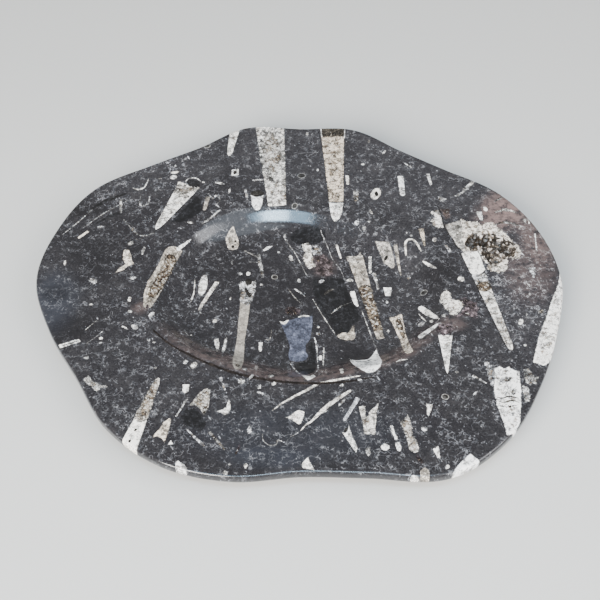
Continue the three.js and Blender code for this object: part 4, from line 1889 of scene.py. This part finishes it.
class StoneRecipe(Recipe):
    """The nodes that draw one stone: its dark ground, its fossils and its crystals."""

    def __init__(self, look: StoneFinish) -> None:
        """Starts the finish, with the place of each point in millimetres.

        Args:
            look: Colours and kind of the stone.
        """
        super().__init__(look.name)
        self.look = look
        spot = self.node("ShaderNodeTexCoord").outputs["Object"]
        self.place = self.vector("SCALE", spot, scale=1 / MM)

    def found(self) -> Found:
        """The topmost fossil: each layer covers those below it where the point is inside it.

        Depth inside a fossil is its half-width less the length of (across, past), where past is
        how far the point is into the rounded end, scaled to the half-width.

        Returns:
            The fossil's values; depth is negative where there is none.
        """
        wander = self.noise(self.place, 0.75, 3, 0.6) * 1.6 + self.noise(self.place, 0.22, 1) - 1.3
        best = None
        for k in range(self.look.layers):
            spot, long = self.channel(f"place_{k}")
            ends, inside = self.channel(f"ends_{k}")
            tint, rim = self.channel(f"tint_{k}")
            marks, ragged = self.channel(f"marks_{k}")
            along, across, wide = self.split(spot)
            back, front, seed = self.split(ends)
            cap = self.blend(along > 0.0, back, front, Blend.NUMBER)
            past = (abs(along) - long + cap).at_least(0.0) * (wide / cap)
            away = self.vector("LENGTH", self.join(across, past))
            depth = wander * ragged + (wide - away)
            depth = self.blend(inside > 0.999, -1.0, depth, Blend.NUMBER)
            mine = Found(depth, depth, seed, rim, spot, tint, marks)
            if best is None:
                best = mine
                continue
            over = depth > 0.0
            seen = zip(best[2:], mine[2:], FOUND_KINDS)
            best = Found(
                self.blend(over, best.depth, depth, Blend.NUMBER),
                best.cover.at_least(depth),
                *(self.blend(over, below, above, kind) for below, above, kind in seen),
            )
        return best

    def hash_layer(self, place: Socket, busy: Term, kind: Hash) -> Term:
        """Brightness of the broken shell of one size, 0 where there is none.

        In each cell lies a rod with a random direction: along it is the dot product with the
        direction, and off it is what is left of the distance from the cell's seed.

        Args:
            place: Place in millimetres, squeezed upright so that more rods meet the face.
            busy: How crowded the stone is here.
            kind: The size and number of the pieces.

        Returns:
            The brightness.
        """
        colour, seat = self.cells(place, kind.cell)
        off = self.vector("SUBTRACT", place, seat)
        red, green, blue = self.split(colour)
        spread = self.vector("SUBTRACT", colour, (0.5, 0.5, 0.5))
        aim = self.vector("NORMALIZE", self.vector("MULTIPLY", spread, (0.9, 1.3, 0.2)))
        along = self.vector("DOT_PRODUCT", off, aim)
        rest = self.vector("DOT_PRODUCT", off, off) - along * along
        across = rest.at_least(0.0).root() / ((green + 0.4) * (kind.thick * kind.cell))
        reach = along / ((blue + 0.2) * (kind.long * kind.cell))
        away = self.vector("LENGTH", self.join(across, reach))
        inside = 1 - self.fade(away, 0.6, 1.1)
        held = red < busy * kind.busy
        return inside * held * (green**2.5 * (0.85 * kind.pale) + 0.15 * kind.pale)

    def threads(self, place: Socket, scale: float, width: float) -> Term:
        """Short curved threads: where a smooth noise is close to its middle value.

        Args:
            place: Place in millimetres.
            scale: Waves of the noise to the millimetre.
            width: How far from the middle value a thread reaches.

        Returns:
            Strength of the threads, from 0 to 1.
        """
        swirl = abs(self.noise(place, scale, 2, 0.6) - 0.5)
        kept = self.fade(self.noise(place, scale * 0.8, 2), 0.46, 0.62)
        return (1 - self.fade(swirl, width * 0.3, width)) * kept

    def stone(self) -> Socket:
        """Colour of the dark stone: fine mottle, curled threads, broken shell and soft zones, with painted
        sheen and the near wall's painted reflection among them.

        Returns:
            A colour socket.
        """
        look = self.look
        place = self.place
        zones, busy = self.channel(GROUND_CHANNEL)
        dark, brown, blue = self.split(zones)
        ragged = self.bent(place, 0.45, 1.8)
        fine = self.noise(ragged, 0.6, 5, 0.75)
        middle = self.noise(place, 0.16, 4, 0.7)
        cloud = self.noise(place, 0.035, 3, 0.6)
        crowd = self.fade(self.noise(ragged, 0.09, 3, 0.65), 0.38, 0.62)
        crowd = busy * (crowd * 0.8 + 0.6)
        mottle = fine * 0.6 + cloud * 0.2 + middle * 0.2 + crowd * 0.08 - 0.035
        greys = (0.4, look.dark), (0.5, look.matrix), (0.6, look.grey), (0.72, look.pale_grey)
        base = self.ramp(mottle, greys)
        # Brown stains of the zones, with the near wall's painted reflection band in the same amount.
        stain_and_reflection = brown * self.fade(middle, 0.3, 0.6)
        base = self.blend(stain_and_reflection, base, look.brown_stain_and_reflection)
        # Painted bluish sheen where the blue amount is.
        base = self.blend(blue * cloud, base, look.painted_blue_sheen)
        broad = self.threads(place, 0.1, 0.016)
        chips = self.threads(ragged, 0.22, 0.04).at_least(broad) * crowd * 0.5
        flat = self.vector("MULTIPLY", self.bent(place, 0.7, 0.8), (1.0, 1.0, 0.45))
        for kind in look.hashes:
            chips = chips.at_least(self.hash_layer(flat, crowd, kind))
        tone = self.blend(self.fade(middle, 0.4, 0.62), look.chip_dim, look.chip)
        # Chips also turn tan in the stains and in the painted reflection band.
        tone = self.blend(brown * 0.6, tone, look.grain_tan)
        # Darker where dark is above 0; where it is below 0 the stone is lit up as a painted sheen.
        return self.lit(self.blend(chips, base, tone), 1 - dark * 0.7)

    def fossil(self, found: Found) -> Socket:
        """Colour of a fossil from its tint, its clean rim, its core and its markings.

        Brightness is two to the power of mixed noises (soft clouds, blotches and sugar grain),
        times lengthwise streaks, hair cracks and a darker outline. Grains of other colours lie
        inside the rim, and chamber walls cross the fossil at even steps along it.

        Args:
            found: The fossil.

        Returns:
            A colour socket.
        """
        look = self.look
        place = self.place
        tone, warmth, grain = self.split(found.tint)
        septa, lines, core = self.split(found.marks)
        along, across, _ = self.split(found.place)
        own = found.seed - 0.5
        hue = (own * 0.25 + warmth) * 0.5 + 0.5
        base = self.ramp(hue, ((0, look.cool), (0.5, look.white), (0.85, look.tan), (1, look.rose)))
        cloud = self.noise(place, 0.13, 3, 0.6)
        ragged = self.bent(place, 0.5, 4.0)
        blotch = self.noise(ragged, 0.33, 4, 0.7)
        fine = self.noise(ragged, 0.7, 4, 0.75)
        swing = (fine * 20 + cloud * 16 + blotch * 24 - 30.4) * (grain.at_most(0.45) + 0.3)

        drawn = self.join(across * 0.6, along * 0.07, found.seed * 40)
        streak = self.fade(self.noise(drawn, 1.0, 4, 0.7), 0.36, 0.6)
        split = self.fade(abs(self.noise(place, 0.085, 3) - 0.5), 0.003, 0.02)
        craze = self.fade(abs(self.noise(ragged, 0.2, 3, 0.7) - 0.5), 0.004, 0.02)
        crack = split * (craze * 0.5 + 0.5) * 0.45 + 0.55
        outline = self.fade(found.cover, 0.0, 0.9) * 0.25 + 0.75
        light = 2**swing * (1 - lines * (1 - streak) * 0.8) * crack * outline
        light = (light * (own * 0.3 + 1) * tone).at_least(0.008).at_most(1.1)

        within = found.depth + (blotch - 0.5) * (found.rim * 1.6 + 1.6)
        inner = self.fade(within, found.rim * 0.4, found.rim * 1.3 + 0.2)
        colour = self.lit(base, light * self.blend(inner, 1.0, core, Blend.NUMBER))
        random, _ = self.cells(ragged, 1.6)
        pick, chance, _ = self.split(random)
        dim = (0.2, look.grain_dark), (0.45, look.grain_brown)
        bright = (0.75, look.grain_tan), (0.95, look.grain_pale)
        grains = self.ramp(pick, dim + bright)
        patchy = chance * 0.5 + self.fade(blotch, 0.36, 0.62) * 0.6
        colour = self.blend((patchy < grain * 0.95) * inner * 0.7, colour, grains)

        turns = (along + across * across * 0.05) / septa.at_least(0.5)
        near = self.fade(abs(turns.fraction() - 0.5), 0.04, 0.13)
        walls = (1 - near) * (septa > 0.0) * 0.4
        return self.blend(walls, colour, look.grain_brown)

    def druse(self, depth: Term) -> Socket:
        """Colour of the crystals: their own pale, tan and brown mix, darkened with depth as painted shade,
        so that tips and rims stay pale.

        Args:
            depth: Depth below the face, in parts of the deepest hollow.

        Returns:
            A colour socket.
        """
        look = self.look
        fine = self.noise(self.place, 0.6, 4, 0.7)
        random, _ = self.cells(self.bent(self.place, 0.4, 2.0), 3.2)
        own, tint, _ = self.split(random)
        # Depth pushes the colour towards the darkest stop: painted shade in the hollows.
        level = (own - 0.5) * 0.85 + (fine - 0.5) * 0.9 + depth * 1.3
        shades = (0, look.crystal_pale), (0.1, look.crystal_mid), (0.28, look.crystal_shade_deep)
        return self.blend(tint * 0.2, self.ramp(level, shades), look.grain_brown)

    def lay(self) -> bpy.types.Material:
        """Lays all the nodes.

        Returns:
            The finish.
        """
        found = self.found()
        on_fossil = self.fade(found.cover, -0.1, 0.6)
        colour = self.blend(on_fossil, self.stone(), self.fossil(found))
        values, _ = self.channel(FACE_CHANNEL)
        polish, crystal, depth = self.split(values)
        rough = self.noise(self.place, 0.35, 3, 0.6) * 0.1 + on_fossil * 0.05 + self.look.gloss
        rough = self.blend(polish, self.look.honed, rough, Blend.NUMBER)
        if self.look.crystals:
            colour = self.blend(crystal, colour, self.druse(depth))
            rough = self.blend(crystal, rough, self.look.crystal_gloss, Blend.NUMBER)
        height = self.noise(self.place, 1.7, 3, 0.6) + on_fossil * 0.5
        relief = {"Strength": 0.25, "Distance": self.look.grain_height * MM, "Height": height}
        bump = self.node("ShaderNodeBump", relief)
        skin = {"Base Color": colour, "Roughness": rough, "Normal": bump.outputs[0], "IOR": 1.5}
        return self.end(self.node("ShaderNodeBsdfPrincipled", skin))


# -------------------- the studio


@dataclass(frozen=True)
class Lamp:
    """A soft rectangular light: its place, size and power, aimed at the plate."""

    name: str
    place: tuple[float, float, float]
    wide: float
    tall: float
    power: float
    colour: tuple[float, float, float]


@dataclass(frozen=True)
class Studio:
    """A pale floor, soft light and the camera. Lengths are in metres."""

    floor_size: float = 6.0
    floor_colour: tuple = shade(188, 186, 182)
    target: tuple[float, float, float] = (0.001, -0.0262, 0.032)
    elevation: float = 50.0
    distance: float = 0.8949
    lens: float = 63.0
    sensor: float = 36.0
    air: tuple[float, float, float] = (0.84, 0.82, 0.80)
    air_strength: float = 0.5
    lamps: tuple[Lamp, ...] = (
        Lamp("glare", (-0.1, -0.87, 1.69), 1.1, 0.3, 17, (0.46, 0.74, 1.0)),
        Lamp("glare_core", (0.02, -0.84, 1.68), 0.4, 0.2, 11, (0.66, 0.85, 1.0)),
        Lamp("sheen", (0.5, -0.3, 1.7), 0.8, 1.2, 7, (0.72, 0.86, 1.0)),
        Lamp("strip_front", (0.0, -2.2, 1.2), 2.0, 0.15, 12, (0.95, 0.97, 1.0)),
        Lamp("key", (-1.0, -1.8, 1.3), 1.2, 1.2, 165, (1.0, 0.98, 0.95)),
        Lamp("fill", (1.4, -0.9, 1.3), 1.4, 1.4, 50, (0.98, 0.98, 1.0)),
    )

    def lay_floor(self) -> None:
        """Lays a square floor at the plate's foot."""
        half = self.floor_size / 2
        corners = [(-half, -half, 0), (half, -half, 0), (half, half, 0), (-half, half, 0)]
        mesh = bpy.data.meshes.new("studio_floor")
        mesh.from_pydata(corners, [], [(0, 1, 2, 3)])
        recipe = Recipe("floor_paint")
        paint = {"Base Color": self.floor_colour, "Roughness": 0.8}
        mesh.materials.append(recipe.end(recipe.node("ShaderNodeBsdfPrincipled", paint)))
        added("studio_floor", mesh)

    def hang_lamp(self, lamp: Lamp) -> None:
        """Hangs one area light, turned to face the plate.

        Args:
            lamp: What kind of light it is and where it hangs.
        """
        light = bpy.data.lights.new(lamp.name, "AREA")
        light.shape = "RECTANGLE"
        light.size = lamp.wide
        light.size_y = lamp.tall
        light.energy = lamp.power
        light.color = lamp.colour
        holder = added(lamp.name, light)
        holder.location = lamp.place
        aim = Vector(self.target) - Vector(lamp.place)
        holder.rotation_euler = aim.to_track_quat("-Z", "Y").to_euler()

    def set_air(self) -> None:
        """Fills the air with even light from all round."""
        world = bpy.data.worlds.new("studio_air")
        world.use_nodes = True
        background = world.node_tree.nodes["Background"]
        background.inputs["Color"].default_value = (*self.air, 1)
        background.inputs["Strength"].default_value = self.air_strength
        bpy.context.scene.world = world

    def set_camera(self) -> None:
        """Sets the camera to look along +Y and down at the plate."""
        data = bpy.data.cameras.new("plate_camera")
        data.lens = self.lens
        data.sensor_width = self.sensor
        data.clip_start = 0.01
        data.clip_end = 50
        camera = added("plate_camera", data)
        tilt = math.radians(self.elevation)
        back = Vector((0, -math.cos(tilt), math.sin(tilt)))
        camera.location = Vector(self.target) + back * self.distance
        camera.rotation_euler = (-back).to_track_quat("-Z", "Y").to_euler()
        bpy.context.scene.camera = camera

    def build(self) -> None:
        """Sets the floor, the light and the camera."""
        self.set_camera()
        self.lay_floor()
        self.set_air()
        for lamp in self.lamps:
            self.hang_lamp(lamp)


# -------------------- putting it together


def settle(piece: bpy.types.Object, node: str, material: bpy.types.Material) -> None:
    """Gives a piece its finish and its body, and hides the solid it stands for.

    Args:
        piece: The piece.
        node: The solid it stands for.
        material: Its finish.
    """
    piece.data.materials.append(material)
    piece.data.update()
    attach(piece, "root")
    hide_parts(node)
    faces = len(piece.data.polygons)
    LOG.info("%s: %d points, %d faces, stands for %s", piece.name, len(piece.data.vertices), faces, node)


def layer_count(piece: bpy.types.Object) -> int:
    """How many fossil layers a piece carries."""
    return sum(a.name.startswith(LAYER_SPAN[0]) for a in piece.data.attributes)


def main() -> None:
    """Builds the studio, the plate and the crust."""
    Studio().build()
    bed = FossilBed(CONES + BASIN_SHELLS + RIM_SHELLS + SMALL_SHELLS)
    plate = Plate(SLAB, bed, FossilBed(under_shells()), GROUND).build()
    crust = Crust(SLAB, bed, GROUND).build()
    polished = StoneFinish("polished_limestone", layer_count(plate))
    crystal = StoneFinish("crystal_calcite", layer_count(crust), crystals=True)
    settle(plate, "fossil_plate", StoneRecipe(polished).lay())
    settle(crust, "calcite_crust", StoneRecipe(crystal).lay())


if __name__ == "__main__":
    logging.basicConfig(level=logging.INFO, format="%(name)s: %(message)s")
    main()
